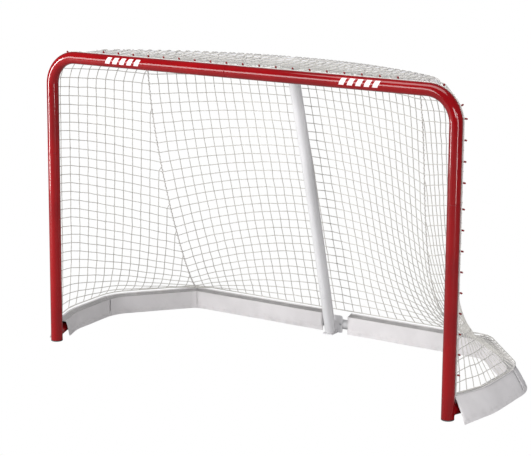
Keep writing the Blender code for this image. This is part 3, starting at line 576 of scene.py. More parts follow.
class Workpiece:
    """Skins, bars and beads gathered into one mesh."""

    def __init__(self):
        self.points, self.corners, self.counts, self.lays = [], [], [], []
        self.total = 0

    def skin(self, rows, along, across=None, round_rows=True, round_trip=False):
        """Quads over rows of points; round rows and round trips join with themselves."""
        rows = np.asarray(rows, float)
        count, width = rows.shape[:2]
        first = self.total
        self.points.append(rows.reshape(-1, 3))
        self.total += count * width
        steps = width if round_rows else width - 1
        if across is None:
            across = np.arange(width + 1) / width
        i, j = np.meshgrid(np.arange(count if round_trip else count - 1),
                           np.arange(steps), indexing="ij")
        after, beside = (i + 1) % count, (j + 1) % width
        quads = np.stack([i * width + j, i * width + beside,
                          after * width + beside, after * width + j], -1) + first
        along = np.append(np.asarray(along, float), 0.0)
        across = np.asarray(across, float)
        lay = np.stack([np.stack([across[j], along[i]], -1),
                        np.stack([across[j + 1], along[i]], -1),
                        np.stack([across[j + 1], along[i + 1]], -1),
                        np.stack([across[j], along[i + 1]], -1)], 2)
        self.corners.append(quads.reshape(-1))
        self.counts.append(np.full(quads.shape[0] * quads.shape[1], 4))
        self.lays.append(lay.reshape(-1, 2))
        return first

    def fan(self, first, width, facing_back):
        """Closes a round row with one flat face."""
        ring = np.arange(first, first + width)
        self.corners.append(ring[::-1] if facing_back else ring)
        self.counts.append(np.array([width]))
        self.lays.append(np.zeros((width, 2)))

    def bar(self, path, radius, sides=8, along=None):
        rings = rings_along(path, radius, sides)
        first = self.skin(rings, spans(path) if along is None else along)
        self.fan(first, sides, True)
        self.fan(first + (len(path) - 1) * sides, sides, False)

    def loop(self, path, radius, sides=8):
        """A closed ring of bar, such as a weld bead."""
        rings = rings_along(list(path) + [path[0]], radius, sides)[:-1]
        self.skin(rings, spans(path), round_trip=True)

    def pipe(self, path, outer, bore, sides, chamfer=0.0006):
        """A tube with an open bore and a small chamfer at each end."""
        path = [Vector(p) for p in path]
        head = (path[1] - path[0]).normalized() * chamfer
        tail = (path[-1] - path[-2]).normalized() * chamfer
        outside = [path[0], path[0] + head] + path[1:-1] + [path[-1] - tail, path[-1]]
        reach = [outer - chamfer] + [outer] * (len(outside) - 2) + [outer - chamfer]
        rings = rings_along(outside, reach, sides)
        inner = rings_along(path, bore, sides)[::-1]
        lengths = spans(outside)
        self.skin(np.concatenate([rings, inner]),
                  np.concatenate([lengths, lengths[-1] + spans(path)]), round_trip=True)

    def bead(self, centre, first, second, third):
        """A lumpy ball on three half-axes, such as a knot."""
        rows = []
        turn = math.tau * np.arange(8) / 8
        for rise in (-0.9, -0.35, 0.35, 0.9):
            reach = math.sqrt(1 - rise * rise) * (1 + 0.16 * np.cos(2 * turn + rise * 2))
            rows.append(np.array(centre)[None, :] + np.array(third)[None, :] * rise
                        + np.outer(np.cos(turn) * reach, first)
                        + np.outer(np.sin(turn) * reach, second))
        start = self.skin(rows, (0.0, 0.001, 0.002, 0.003))
        self.fan(start, 8, True)
        self.fan(start + 24, 8, False)

    def finished(self, name, kind, *nodes, sharp=35):
        """The object: on its body, in its finish, in place of its plain nodes."""
        corners = np.concatenate(self.corners).astype(np.int32)
        counts = np.concatenate(self.counts).astype(np.int32)
        mesh = bpy.data.meshes.new(name)
        mesh.vertices.add(self.total)
        mesh.vertices.foreach_set("co", np.concatenate(self.points).astype(np.float32).ravel())
        mesh.loops.add(len(corners))
        mesh.loops.foreach_set("vertex_index", corners)
        mesh.polygons.add(len(counts))
        mesh.polygons.foreach_set("loop_start", (np.cumsum(counts) - counts).astype(np.int32))
        mesh.polygons.foreach_set("loop_total", counts)
        layer = mesh.uv_layers.new(name="lay")
        layer.uv.foreach_set("vector", np.concatenate(self.lays).astype(np.float32).ravel())
        mesh.update(calc_edges=True)
        mesh.validate()
        mesh.shade_smooth()
        mesh.set_sharp_from_angle(angle=math.radians(sharp))
        return settle(bpy.data.objects.new(name, mesh), kind, *nodes)


def settle(piece, kind, *nodes):
    """Gives a piece its finish and body, and lets it stand for its plain nodes."""
    if piece.name not in bpy.context.scene.objects:
        bpy.context.scene.collection.objects.link(piece)
    piece.data.materials.clear()
    piece.data.materials.append(finish_of(kind))
    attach(piece, "root")
    if nodes:
        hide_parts(*nodes)
    return piece


# ------------------------------------------------------------------ outlines

class Outline:
    """The axes of the tubes and the places on them, right-hand half."""

    def __init__(self):
        scene = bpy.context.scene
        self.sizes, self.net = scene.goal_frame, scene.goal_net
        self.cloth = scene.goal_skirts
        s = self.sizes
        self.front_r, self.rear_r = s.front_diameter / 2, s.rear_diameter / 2
        self.front_bore = self.front_r - s.front_wall
        self.rear_bore = self.rear_r - s.rear_wall
        self.wide_x = POST_X + s.base_flare
        self.base = rounded_path(
            [(POST_X, FRONT_Y, BASE_AXIS_Z),
             (self.wide_x - BASE_KNEE_TUCK, FRONT_Y + s.base_knee, BASE_AXIS_Z),
             (self.wide_x, FRONT_Y + s.base_bend, BASE_AXIS_Z),
             (s.base_corner, BASE_Y, BASE_AXIS_Z), (0, BASE_Y, BASE_AXIS_Z)],
            BASE_BEND_RADII)
        self.shelf = self.shelf_path()
        self.shelf_y = self.shelf[-1].y
        self.base_length, self.shelf_length = path_length(self.base), path_length(self.shelf)
        self.base_loop = self.base + flipped(self.base, -1)[-2::-1]
        self.shelf_loop = self.shelf + flipped(self.shelf, -1)[-2::-1]
        self.shelf_off = self.rear_r + self.net.shelf_clearance
        self.edge_start = s.corner_radius * math.radians(25)
        self.bend_length = s.corner_radius * math.pi / 2
        self.edge_end = self.bend_length + BAR_Z - s.corner_radius - NET_FOOT_Z
        self.seam_shelf = self.where(self.shelf, lambda p: p.x <= SEAM_SHELF_X)
        self.seam_base = self.where(self.base, lambda p: p.x <= s.base_corner - 0.005
                                    and p.y > BASE_Y - 0.02)
        place, heading = place_on(self.shelf, self.seam_shelf)
        foot = place_on(self.base, self.seam_base)[0]
        self.seam_ends = (place + level_outward(heading) * self.shelf_off,
                          Vector((foot.x, foot.y, NET_FOOT_Z)))
        self.seam_handles = [Vector((x, FRONT_Y + depth, z)) for x, depth, z in SEAM_HANDLES]

    def shelf_path(self):
        s = self.sizes
        rear_y = FRONT_Y + s.shelf_depth - s.shelf_radius
        end_x = s.shelf_end - s.shelf_end_radius
        reach = math.sqrt((s.shelf_radius - s.shelf_end_radius) ** 2 - end_x ** 2)
        meet = math.atan2(reach, end_x)
        points = [Vector((s.shelf_end, FRONT_Y, BAR_Z))]
        for centre, radius, low, high, count in (
                ((end_x, rear_y + reach), s.shelf_end_radius, 0.0, meet, 14),
                ((0.0, rear_y), s.shelf_radius, meet, math.pi / 2, 18)):
            for index in range(0 if low == 0.0 else 1, count + 1):
                angle = low + (high - low) * index / count
                points.append(Vector((centre[0] + radius * math.cos(angle),
                                      centre[1] + radius * math.sin(angle), BAR_Z)))
        return points

    @staticmethod
    def where(path, passed):
        """How far along a path the first point is that has passed a mark."""
        travelled = 0.0
        for start, end in zip(path, path[1:]):
            travelled += (end - start).length
            if passed(end):
                return travelled
        raise ValueError("the path never passes the mark")

    def seam(self, share):
        """The seam between side and back nets, from the shelf down to the base."""
        start, end = self.seam_ends
        upper, lower = self.seam_handles
        rest = 1 - share
        return (start * rest ** 3 + upper * (3 * share * rest ** 2)
                + lower * (3 * share ** 2 * rest) + end * share ** 3)

    def seam_row(self, v):
        """Where a row crosses the seam; the lower rows crowd together at the base."""
        return self.seam(v - self.net.seam_delay * v * v * (1 - v))

    def frame_spot(self, distance):
        """A point on the front axis and its outward direction, from the bend down."""
        radius = self.sizes.corner_radius
        if distance < 0:
            return Vector((POST_X - radius + distance, FRONT_Y, BAR_Z)), UP
        if distance < self.bend_length:
            angle = distance / radius
            outward = Vector((math.sin(angle), 0, math.cos(angle)))
            middle_x, middle_z = POST_X - radius, BAR_Z - radius
            return Vector((middle_x, FRONT_Y, middle_z)) + outward * radius, outward
        height = BAR_Z - radius - (distance - self.bend_length)
        return Vector((POST_X, FRONT_Y, height)), Vector((1, 0, 0))

    def on_frame(self, distance, angle, lift):
        """A point on the front tubes' surface, or a little above it."""
        place, outward = self.frame_spot(distance)
        return place + across_frame(outward, angle) * (self.front_r + lift)

    def edge(self, share):
        """The front edge of the side net, from the shelf's end down the post."""
        distance = self.edge_start + (self.edge_end - self.edge_start) * share
        return self.on_frame(distance, NET_EDGE_ANGLE, 0.003)

    def side_top(self, share):
        start = self.front_r + 0.006
        place, heading = place_on(self.shelf, start + (self.seam_shelf - start) * share)
        place = place + level_outward(heading) * self.shelf_off
        lead = self.edge(0) - (place_on(self.shelf, start)[0] + Vector((self.shelf_off, 0, 0)))
        return place + lead * (1 - share) ** 3

    def side_foot(self, share):
        place = place_on(self.base, self.seam_base * share)[0]
        lead = self.edge(1) - Vector((POST_X, FRONT_Y, NET_FOOT_Z))
        return Vector((place.x, place.y, NET_FOOT_Z)) + lead * (1 - share) ** 3

    def side_net(self, u, v):
        """A point of the right side net; u runs from the post to the seam, v down."""
        across = self.edge(v) * (1 - u) + self.seam_row(v) * u
        arch = self.net.arch * v * (1 - v ** 6) * (1 - math.exp(-u / 0.08)) * (1 - u)
        rise = self.side_top(u) - self.side_top(0).lerp(self.side_top(1), u)
        flare = self.side_foot(u) - self.side_foot(0).lerp(self.side_foot(1), u)
        return across + rise * (1 - v) + flare * v ** self.net.flare_power + UP * arch

    def back_net(self, u, v):
        """A point of the back net; u runs from right to left, v down."""
        span = 2 * (self.shelf_length - self.seam_shelf)
        place, heading = place_on(self.shelf_loop, self.seam_shelf + span * u)
        top = place + level_outward(heading) * self.shelf_off
        span = 2 * (self.base_length - self.seam_base)
        low = place_on(self.base_loop, self.seam_base + span * u)[0]
        low = Vector((low.x, low.y, NET_FOOT_Z))
        sweep = self.seam_row(v) - self.seam_ends[0].lerp(self.seam_ends[1], v)
        fade = (2 * u - 1) ** 2
        bow = Vector((sweep.x * math.copysign(1, 0.5 - u), sweep.y, sweep.z)) * fade
        return top.lerp(low, v) + bow

    def shelf_depth_at(self, x):
        for start, end in zip(self.shelf, self.shelf[1:]):
            if end.x <= x <= start.x and start.x > end.x:
                return start.y + (end.y - start.y) * (start.x - x) / (start.x - end.x)
        return self.shelf[1].y


SEAM_SHELF_X = 0.665
SEAM_HANDLES = ((0.690, 0.350, 0.820), (0.520, 0.440, 0.110))   # x, depth, height
COLUMN_PLANE = (0.78, 0.62)    # the side net's columns hang in planes across this
NET_EDGE_ANGLE = math.radians(60)
ROPE_ANGLE = math.radians(32)
PEG_ANGLE = math.radians(45)


def outline():
    if "outline" not in MIXED:
        MIXED["outline"] = Outline()
    return MIXED["outline"]


# --------------------------------------------------------------- front frame

def weld_ring(start, heading, radius, axis_point, axis, main_radius):
    """Where a stub of one radius meets a larger straight tube, as a closed line."""
    side = heading.cross(UP if abs(heading.z) < 0.9 else BACK).normalized()
    other = heading.cross(side)
    ring = []
    for index in range(36):
        angle = math.tau * index / 36
        point = start + (side * math.cos(angle) + other * math.sin(angle)) * radius
        offset = point - axis_point
        flat = offset - axis * offset.dot(axis)
        step = heading - axis * heading.dot(axis)
        a, b, c = step.dot(step), 2 * flat.dot(step), flat.dot(flat) - main_radius ** 2
        ring.append(point + heading * ((-b + math.sqrt(max(0.0, b * b - 4 * a * c))) / (2 * a)))
    return ring


def add_peg(work, root, outward, shape):
    """A bent wire peg with a fillet of weld at its foot and a rounded tip."""
    s = shape.sizes
    radius = s.peg_diameter / 2
    stem = across_frame(outward, PEG_ANGLE)
    tip = across_frame(outward, PEG_ANGLE - math.pi / 2)
    foot = root + stem * (shape.front_r - 0.002)
    elbow = root + stem * (shape.front_r + s.peg_reach)
    bend = rounded_path([foot, elbow, elbow + tip * s.peg_tip], [radius * 1.2],
                        math.radians(15))
    path = [foot, foot + stem * 0.0026, foot + stem * 0.0040] + bend[1:]
    end = path.pop()
    path += [end - tip * radius * 0.6, end - tip * radius * 0.15, end]
    reach = [radius * 1.7, radius * 1.45, radius * 1.08] + [radius] * (len(path) - 5)
    work.bar(path, reach + [radius * 0.8, radius * 0.3], 12)


def add_stub(work, shape, path, main_axis):
    """The red stub for a rear tube, its weld bead and its open end."""
    work.pipe(path, shape.rear_r, shape.rear_bore, 32)
    heading = (path[1] - path[0]).normalized()
    ring = weld_ring(path[0], heading, shape.rear_r, path[0], main_axis, shape.front_r)
    ripple = [shape.sizes.weld * (1 + 0.14 * math.sin(index * 2.4)) for index in range(36)]
    work.loop(ring, ripple + ripple[:1], 8)


def corner_tube(side):
    shape = outline()
    s = shape.sizes
    joint = BAR_JOINT.x + side * JOINT_GAP
    path = rounded_path([(joint, FRONT_Y, BAR_Z), (side * POST_X, FRONT_Y, BAR_Z),
                         (side * POST_X, FRONT_Y, POST_JOINT_Z + JOINT_GAP)],
                        [s.corner_radius])
    work = Workpiece()
    work.pipe(path, shape.front_r, shape.front_bore, bpy.context.scene.goal_studio.tube_sides,
              0.0009)
    add_stub(work, shape, flipped(cut_path(shape.shelf, 0, s.shelf_stub), side),
             Vector((1, 0, 0)))
    count = int(BAR_PEG_END / s.peg_pitch_bar)
    for index in range(-count, count + 1):
        x = index * s.peg_pitch_bar
        if (x - joint) * side > s.peg_diameter:
            add_peg(work, Vector((x, FRONT_Y, BAR_Z)), UP, shape)
    for degrees in BEND_PEG_DEGREES:
        place, outward = shape.frame_spot(s.corner_radius * math.radians(degrees))
        add_peg(work, *flipped([place, outward], side), shape)
    height = UPPER_PEG_Z
    while height > POST_JOINT_Z + s.peg_pitch_post / 2:
        add_peg(work, Vector((side * POST_X, FRONT_Y, height)), Vector((side, 0, 0)), shape)
        height -= s.peg_pitch_post
    return work


def lower_post(side):
    shape = outline()
    s = shape.sizes
    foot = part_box("right_lower_post")[0].z
    path = [Vector((side * POST_X, FRONT_Y, z)) for z in (foot, POST_JOINT_Z - JOINT_GAP)]
    work = Workpiece()
    work.pipe(fine_path(path, 0.1), shape.front_r, shape.front_bore,
              bpy.context.scene.goal_studio.tube_sides, 0.0009)
    add_stub(work, shape, flipped(cut_path(shape.base, 0, s.base_stub), side), UP)
    for index in range(LOWER_PEG_COUNT):
        height = LOWER_PEG_Z - index * s.peg_pitch_post
        add_peg(work, Vector((side * POST_X, FRONT_Y, height)), Vector((side, 0, 0)), shape)
    return work


def foot_plug(side):
    """A stepped plug turned from one outline."""
    shape = outline()
    low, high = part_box("right_foot_plug")
    shank, flange = shape.front_bore - 0.0008, shape.front_r
    profile = [(0.0004, high.z), (shank - 0.001, high.z), (shank, high.z - 0.001),
               (shank, 0.0040), (flange - 0.0004, 0.0040), (flange, 0.0036),
               (flange, 0.0008), (flange - 0.0008, 0.0), (flange - 0.006, 0.0),
               (flange - 0.0064, 0.0006), (0.0004, 0.0006)]
    turn = math.tau * np.arange(48) / 48
    rows = [[(side * POST_X + r * math.cos(t), FRONT_Y - r * math.sin(t), z) for t in turn]
            for r, z in profile]
    work = Workpiece()
    first = work.skin(rows, np.linspace(0, 0.1, len(profile)))
    work.fan(first, 48, True)
    work.fan(first + (len(profile) - 1) * 48, 48, False)
    return work


def stripes(side):
    """Five plain slanted bars of film on the crossbar's front."""
    shape = outline()
    work = Workpiece()
    for index in range(STRIPE_COUNT):
        middle_x = STRIPE_CENTRES[side] + (index - STRIPE_COUNT // 2) * STRIPE_PITCH
        start = middle_x - STRIPE_WIDTH / 2
        rows = []
        for step in range(STRIPE_STEPS + 1):
            share = step / STRIPE_STEPS
            angle = math.radians(-18 + 62 * share)
            lift = shape.front_r + 0.00025
            y, z = FRONT_Y - math.cos(angle) * lift, BAR_Z + math.sin(angle) * lift
            x = start + STRIPE_SLANT * share
            rows.append([(x + STRIPE_WIDTH * part / 3, y, z) for part in range(4)])
        work.skin(rows, np.linspace(0, 0.03, STRIPE_STEPS + 1),
                  np.linspace(0, STRIPE_WIDTH, 4), round_rows=False)
    return work


# ---------------------------------------------------------------- rear frame

def rear_tube(path, name, node):
    shape = outline()
    work = Workpiece()
    work.pipe(path, shape.rear_r, shape.rear_bore, 36)
    return work.finished(name, "rear_tube", node)


def pole_path():
    s = outline().sizes
    foot = Vector((0, PLATE_HIGH.y - BRACKET_PLATE - s.pole_diameter / 2 - 0.002, 0.004))
    top = Vector((0, outline().shelf_y - 0.008, BAR_Z))
    points = []
    for index in range(25):
        share = index / 24
        point = foot.lerp(top, share)
        point.y += s.pole_bow * 4 * share * (1 - share)
        points.append(point)
    return points


def centre_pole():
    s = outline().sizes
    radius = s.pole_diameter / 2
    path = pole_path()
    length = path_length(path)
    path = cut_path(path, radius * 0.32 + 0.001, length - outline().rear_r - 0.0115)
    work = Workpiece()
    work.pipe(path, radius, radius - 0.002, 40)
    return work.finished("grey_centre_pole", "rear_tube", "centre_pole")


def rounded_outline(width, height, radius, steps=6):
    points = []
    for x, y, start in ((1, 1, 0), (-1, 1, 90), (-1, -1, 180), (1, -1, 270)):
        for index in range(steps + 1):
            angle = math.radians(start + 90 * index / steps)
            points.append((x * (width / 2 - radius) + radius * math.cos(angle),
                           y * (height / 2 - radius) + radius * math.sin(angle)))
    return points


def add_plate(work, centre, across, upward, width, height, thickness, corner):
    """A flat plate with round corners and a small chamfer on every edge."""
    normal = across.cross(upward)
    rows = []
    for level, inset in ((-0.5, 0.0005), (-0.5 + 0.0005 / thickness, 0.0),
                         (0.5 - 0.0005 / thickness, 0.0), (0.5, 0.0005)):
        shape = rounded_outline(width - 2 * inset, height - 2 * inset, corner)
        rows.append([centre + across * x + upward * y + normal * level * thickness
                     for x, y in shape])
    width = len(rows[0])
    first = work.skin(rows, (0, 0.001, 0.002, 0.003))
    work.fan(first, width, True)
    work.fan(first + 3 * width, width, False)


def foot_bracket():
    """The plate against the base tube, its foot on the floor and the pole's spigot."""
    s = outline().sizes
    work = Workpiece()
    plate = BRACKET_PLATE
    centre = Vector((0, PLATE_HIGH.y - plate / 2, (PLATE_LOW.z + PLATE_HIGH.z) / 2))
    add_plate(work, centre, Vector((1, 0, 0)), UP, PLATE_HIGH.x - PLATE_LOW.x,
              PLATE_HIGH.z - PLATE_LOW.z, plate, 0.008)
    depth = PLATE_HIGH.y - PLATE_LOW.y - plate * 0.5
    centre = Vector((0, PLATE_LOW.y + depth / 2, 0.002))
    add_plate(work, centre, Vector((1, 0, 0)), BACK, s.pole_diameter, depth, 0.004, 0.006)
    seam = [Vector((x, PLATE_HIGH.y - plate - 0.0006, 0.0046)) for x in
            np.linspace(-0.022, 0.022, 23)]
    work.bar(seam, [0.0022 * (1 + 0.15 * math.sin(index * 2.2)) for index in range(23)], 8)
    spigot = cut_path(pole_path(), 0.0, SPIGOT_LENGTH)
    work.bar(spigot, s.pole_diameter / 2 - SPIGOT_INSET, 32)
    return work.finished("grey_foot_bracket", "rear_tube", "pole_foot_bracket")


def top_saddle():
    """A half-round saddle under the shelf tube, with the spigot in the pole's top."""
    shape = outline()
    inner, outer = shape.rear_r + 0.0010, shape.rear_r + 0.0040
    half = (SADDLE_HIGH.x - SADDLE_LOW.x) / 2
    arc = [math.radians(180 + 152 * index / 28) for index in range(29)]
    section = ([(outer, a) for a in arc] + [(inner, a) for a in reversed(arc)])
    rows = []
    for x, inset in ((-half, 0.0006), (-half + 0.0006, 0), (half - 0.0006, 0),
                     (half, 0.0006)):
        line = []
        for radius, angle in section:
            radius += -inset if radius == outer else inset
            line.append((x, shape.shelf_y + radius * math.cos(angle),
                         BAR_Z + radius * math.sin(angle)))
        rows.append(line)
    work = Workpiece()
    count = len(section)
    first = work.skin(rows, (0, 0.001, half, half + 0.001))
    for index in range(28):
        for row in (0, 3):
            base = first + row * count
            quad = [base + index, base + index + 1, base + count - 2 - index,
                    base + count - 1 - index]
            work.corners.append(np.array(quad[::-1] if row == 0 else quad))
            work.counts.append(np.array([4]))
            work.lays.append(np.zeros((4, 2)))
    path = pole_path()
    length = path_length(path)
    spigot = cut_path(path, length - SPIGOT_LENGTH - shape.rear_r,
                      length - shape.rear_r - 0.0015)
    work.bar(spigot, shape.sizes.pole_diameter / 2 - SPIGOT_INSET, 32)
    return work.finished("grey_top_saddle", "rear_tube", "pole_top_saddle")


# -------------------------------------------------------------------- screws

SCREWS = (
    [("crossbar_%s_screw" % word, (0, -1, 0)) for word, _ in SIDES]
    + [("%s_post_%s_screw" % (word, level), (0, -1, 0)) for word, _ in SIDES
       for level in ("upper", "lower")]
    + [("%s_base_screw" % word, (0, 0, -1)) for word, _ in SIDES]
    + [("%s_shelf_screw" % word, (0, 0, 1)) for word, _ in SIDES]
    + [("pole_top_%s_screw" % word, (0, 1, 1)) for word, _ in SIDES]
    + [("pole_foot_%s_bolt" % word, (0, 1, 0)) for word, _ in SIDES]
)


def screw(node, inward):
    """A pan-head screw with a cross recess, driven along inward."""
    inward = Vector(inward).normalized()
    low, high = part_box(node)
    centre = (low + high) / 2
    half = max(abs(inward.dot(high - centre)), abs(inward.dot(centre - low)))
    if abs(inward.y) > 0.1 and abs(inward.z) > 0.1:
        half = (high.z - low.z - 0.011 * abs(inward.y)) / 2 / abs(inward.z)
    top = centre - inward * half
    side = inward.cross(UP if abs(inward.z) < 0.9 else BACK).normalized()
    other = inward.cross(side)
    head, shank, rise = 0.0055, 0.0030, 0.0030
    rows = []
    rings = [(0.15, 0.0), (0.35, 0.0), (0.55, 0.00006), (0.75, 0.0002), (0.9, 0.0006),
             (0.98, 0.0012), (1.0, 0.0018), (1.0, rise - 0.0002), (0.97, rise)]
    for share, drop in rings:
        ring = []
        for index in range(48):
            angle = math.tau * index / 48
            x, y = head * share * math.cos(angle), head * share * math.sin(angle)
            cross = min(abs(x), abs(y)) < 0.0006 and max(abs(x), abs(y)) < 0.0031
            depth = drop + (0.0014 if cross else 0.0)
            ring.append(top + side * x + other * y + inward * depth)
        rows.append(ring)
    for radius, depth in ((shank, rise), (shank, 2 * half - 0.001), (shank - 0.001, 2 * half)):
        rows.append([top + (side * math.cos(math.tau * i / 48)
                            + other * math.sin(math.tau * i / 48)) * radius
                     + inward * depth for i in range(48)])
    work = Workpiece()
    first = work.skin(rows, np.linspace(0, 0.02, len(rows)))
    work.fan(first, 48, True)
    work.fan(first + (len(rows) - 1) * 48, 48, False)
    return work.finished(f"zinc_{node}", "joint_steel", node)


# ----------------------------------------------------------------------- net

def knot(work, place, one, other, net, rng):
    """A small crossed knot that sits over both strands."""
    one, other = Vector(one).normalized(), Vector(other).normalized()
    face = one.cross(other)
    if face.length < 0.05:
        return
    face.normalize()
    half = net.knot / 2 * rng.uniform(0.9, 1.12)
    slant = (one + other * rng.choice((-1, 1)) * 0.8).normalized()
    work.bead(place, slant * half * 1.12, face.cross(slant) * half * 0.85, face * half * 0.72)


def strand(work, points, net, thickness=1.0, sides=6):
    if len(points) > 1:
        work.bar(points, net.twine / 2 * thickness, sides)


def stray(rng, net):
    return Vector(rng.uniform(-1, 1) * net.unevenness for _ in range(3))


def crossing(line, reach, mark):
    """The first point of a row whose reach passes a mark."""
    for before, after, low, high in zip(line, line[1:], reach, reach[1:]):
        if low <= mark <= high:
            return before.lerp(after, (mark - low) / (high - low))
    return line[-1].copy()


def row_count(shape):
    return round((shape.edge_end - shape.edge_start) / shape.net.mesh)


def side_net(side):
    """Rows tied to the border rope and the seam; columns drop from the seam."""
    shape = outline()
    net = shape.net
    rng = random.Random(11 if side > 0 else 12)
    rows = row_count(shape)
    even = net.right_evenness if side > 0 else net.left_evenness
    columns = {}
    work = Workpiece()
    drawn = []
    for row in range(rows + 1):
        v = row / rows
        line = [shape.side_net(u / 60, v) for u in range(61)]
        upright = [(POST_X - p.x) * COLUMN_PLANE[0] + (p.y - FRONT_Y) * COLUMN_PLANE[1]
                   for p in line]
        reach = [plane * (1 - even) + arc * even for plane, arc in zip(upright, spans(line))]
        distance = shape.edge_start + (shape.edge_end - shape.edge_start) * v
        tied = [shape.on_frame(distance, ROPE_ANGLE, net.rope * 0.9),
                shape.on_frame(distance, (ROPE_ANGLE + NET_EDGE_ANGLE) / 2, 0.0042)]
        crossings = []
        column = 1
        while (column - 0.3) * net.mesh < reach[-1] - reach[0] - net.mesh * 0.25:
            place = crossing(line, reach, reach[0] + (column - 0.3) * net.mesh)
            if 0 < row < rows:
                place += stray(rng, net)
            crossings.append(place)
            columns.setdefault(column, []).append((row, place))
            column += 1
        drawn.append(flipped(tied + [line[0]] + crossings + [line[-1]], side))
    for row, line in enumerate(drawn):
        strand(work, line, net, 1.25 if row in (0, rows) else 1.0)
    for column, places in columns.items():
        first_row = places[0][0]
        points = [place for _, place in places]
        if first_row > 0:
            points.insert(0, shape.seam_row((first_row - 0.55) / rows))
        points = flipped(points, side)
        strand(work, points, net)
        for before, here, after in zip(points, points[1:], points[2:]):
            knot(work, here, after - before, Vector((0, 1, -0.15)), net, rng)
    for line in drawn:
        knot(work, line[0], line[1] - line[0], Vector((0.2, 0.3, 1)), net, rng)
    edge = [shape.side_net(index / 60, 1.0) for index in range(61)]
    work.bar(flipped(edge, side), net.seam / 2, 8)
    return work


def back_net():
    """Columns fan out from the shelf to the base; rows hang lower at the seams."""
    shape = outline()
    net = shape.net
    rng = random.Random(13)
    rows = row_count(shape)
    width = 2 * (shape.shelf_length - shape.seam_shelf)
    columns = round(width / net.mesh)
    places = {}
    for row in range(rows + 1):
        for column in range(columns + 1):
            place = shape.back_net(column / columns, row / rows)
            if 0 < row < rows and 0 < column < columns:
                place += stray(rng, net)
            places[row, column] = place
    work = Workpiece()
    for row in range(rows + 1):
        strand(work, [places[row, column] for column in range(columns + 1)], net,
               1.25 if row in (0, rows) else 1.0)
    for column in range(1, columns):
        strand(work, [places[row, column] for row in range(rows + 1)], net)
    for row in range(1, rows):
        for column in range(1, columns):
            knot(work, places[row, column], places[row + 1, column] - places[row, column],
                 places[row, column + 1] - places[row, column], net, rng)
    edge = [shape.back_net(index / 60, 1.0) for index in range(61)]
    work.bar(edge, net.seam / 2, 8)
    return work


def top_net():
    """The net over the shelf; each column is tied to the rope and wraps the tube."""
    shape = outline()
    net, s = shape.net, shape.sizes
    rng = random.Random(14)
    reach = s.shelf_end - shape.rear_r - 0.008
    crest = BAR_Z + shape.rear_r + 0.0025
    edge_lift = across_frame(UP, NET_EDGE_ANGLE) * (shape.front_r + 0.0025)
    front = Vector((0, FRONT_Y, BAR_Z)) + edge_lift
    columns = round(2 * reach / net.mesh)
    deepest = shape.shelf_y - front.y
    rows = round(deepest / net.mesh)
    work = Workpiece()
    lines = [[] for _ in range(rows)]
    for column in range(columns + 1):
        x = reach * (2 * column / columns - 1)
        rear = shape.shelf_depth_at(abs(x))
        points = [Vector((x, FRONT_Y, BAR_Z)) + across_frame(UP, angle)
                  * (shape.front_r + lift) for angle, lift in
                  ((ROPE_ANGLE, net.rope * 0.9), (math.radians(46), 0.004))]
        points.append(Vector((x, front.y, front.z)))
        for row in range(1, rows):
            y = front.y + deepest * row / rows
            if y > rear - net.mesh * 0.3:
                break
            share = (y - front.y) / (rear - front.y)
            sag = net.top_sag * 4 * share * (1 - share) * (1 - (x / reach) ** 4)
            height = front.z + (crest - front.z) * min(1, share * 2.5)
            place = Vector((x, y, height - sag)) + stray(rng, net) * 0.8
            points.append(place)
            lines[row].append(place)
            knot(work, place, BACK, Vector((1, 0, 0)), net, rng)
        for degrees in (0, 25, 50, 75, 90):
            angle = math.radians(degrees)
            wrap = shape.rear_r + 0.0028
            points.append(Vector((x, rear + wrap * math.sin(angle),
                                  BAR_Z + wrap * math.cos(angle))))
        strand(work, points, net)
        knot(work, points[0], BACK, Vector((1, 0, 0)), net, rng)
    for line in lines:
        strand(work, line, net)
    return work


def shelf_wraps():
    """The cord that whips the top and back nets to the shelf tube."""
    shape = outline()
    net = shape.net
    start = shape.sizes.shelf_stub + 0.01
    end = 2 * shape.shelf_length - start
    turns = int((end - start) / net.mesh)
    radius = shape.rear_r + net.lacing / 2 + 0.0012
    points = []
    for index in range(turns * 12 + 1):
        place, heading = place_on(shape.shelf_loop, start + net.mesh * index / 12)
        angle = math.tau * index / 12
        points.append(place + (level_outward(heading) * math.cos(angle)
                               + UP * math.sin(angle)) * radius)
    return points


def border_rope():
    shape = outline()
    lift = shape.net.rope / 2 + 0.0005
    bar_start = -(POST_X - shape.sizes.corner_radius)
    stops = list(np.linspace(bar_start, 0, 40))
    stops += list(np.linspace(0.006, shape.bend_length, 26))
    stops += list(np.linspace(shape.bend_length + 0.02, shape.edge_end, 40))
    right = [shape.on_frame(stop, ROPE_ANGLE, lift) for stop in stops]
    path = right[::-1] + flipped(right, -1)[1:]
    work = Workpiece()
    work.bar(path, shape.net.rope / 2, 12)
    return work


def wound_cord(axis, radius, turns, steps=12):
    """A cord wound round a smooth line given as a function of a share 0 to 1."""
    points = []
    for index in range(turns * steps + 1):
        share = index / (turns * steps)
        here, ahead = axis(share), axis(min(1.0, share + 0.002)) - axis(max(0.0, share - 0.002))
        ahead.normalize()
        side = ahead.cross(BACK).normalized()
        other = ahead.cross(side)
        angle = math.tau * index / steps
        points.append(here + (side * math.cos(angle) + other * math.sin(angle)) * radius)
    return points


def seam_cord(side):
    """A straight cord down the seam with a thinner one whipped round it."""
    shape = outline()
    net = shape.net
    work = Workpiece()
    core = [shape.seam(index / 60) for index in range(61)]
    work.bar(flipped(core, side), net.seam / 2, 10)
    turns = round(path_length(core) / WHIPPING_PITCH)
    wound = wound_cord(shape.seam, net.seam / 2 + 0.0010, turns, 10)
    work.bar(flipped(wound, side), 0.0010, 6)
    return work


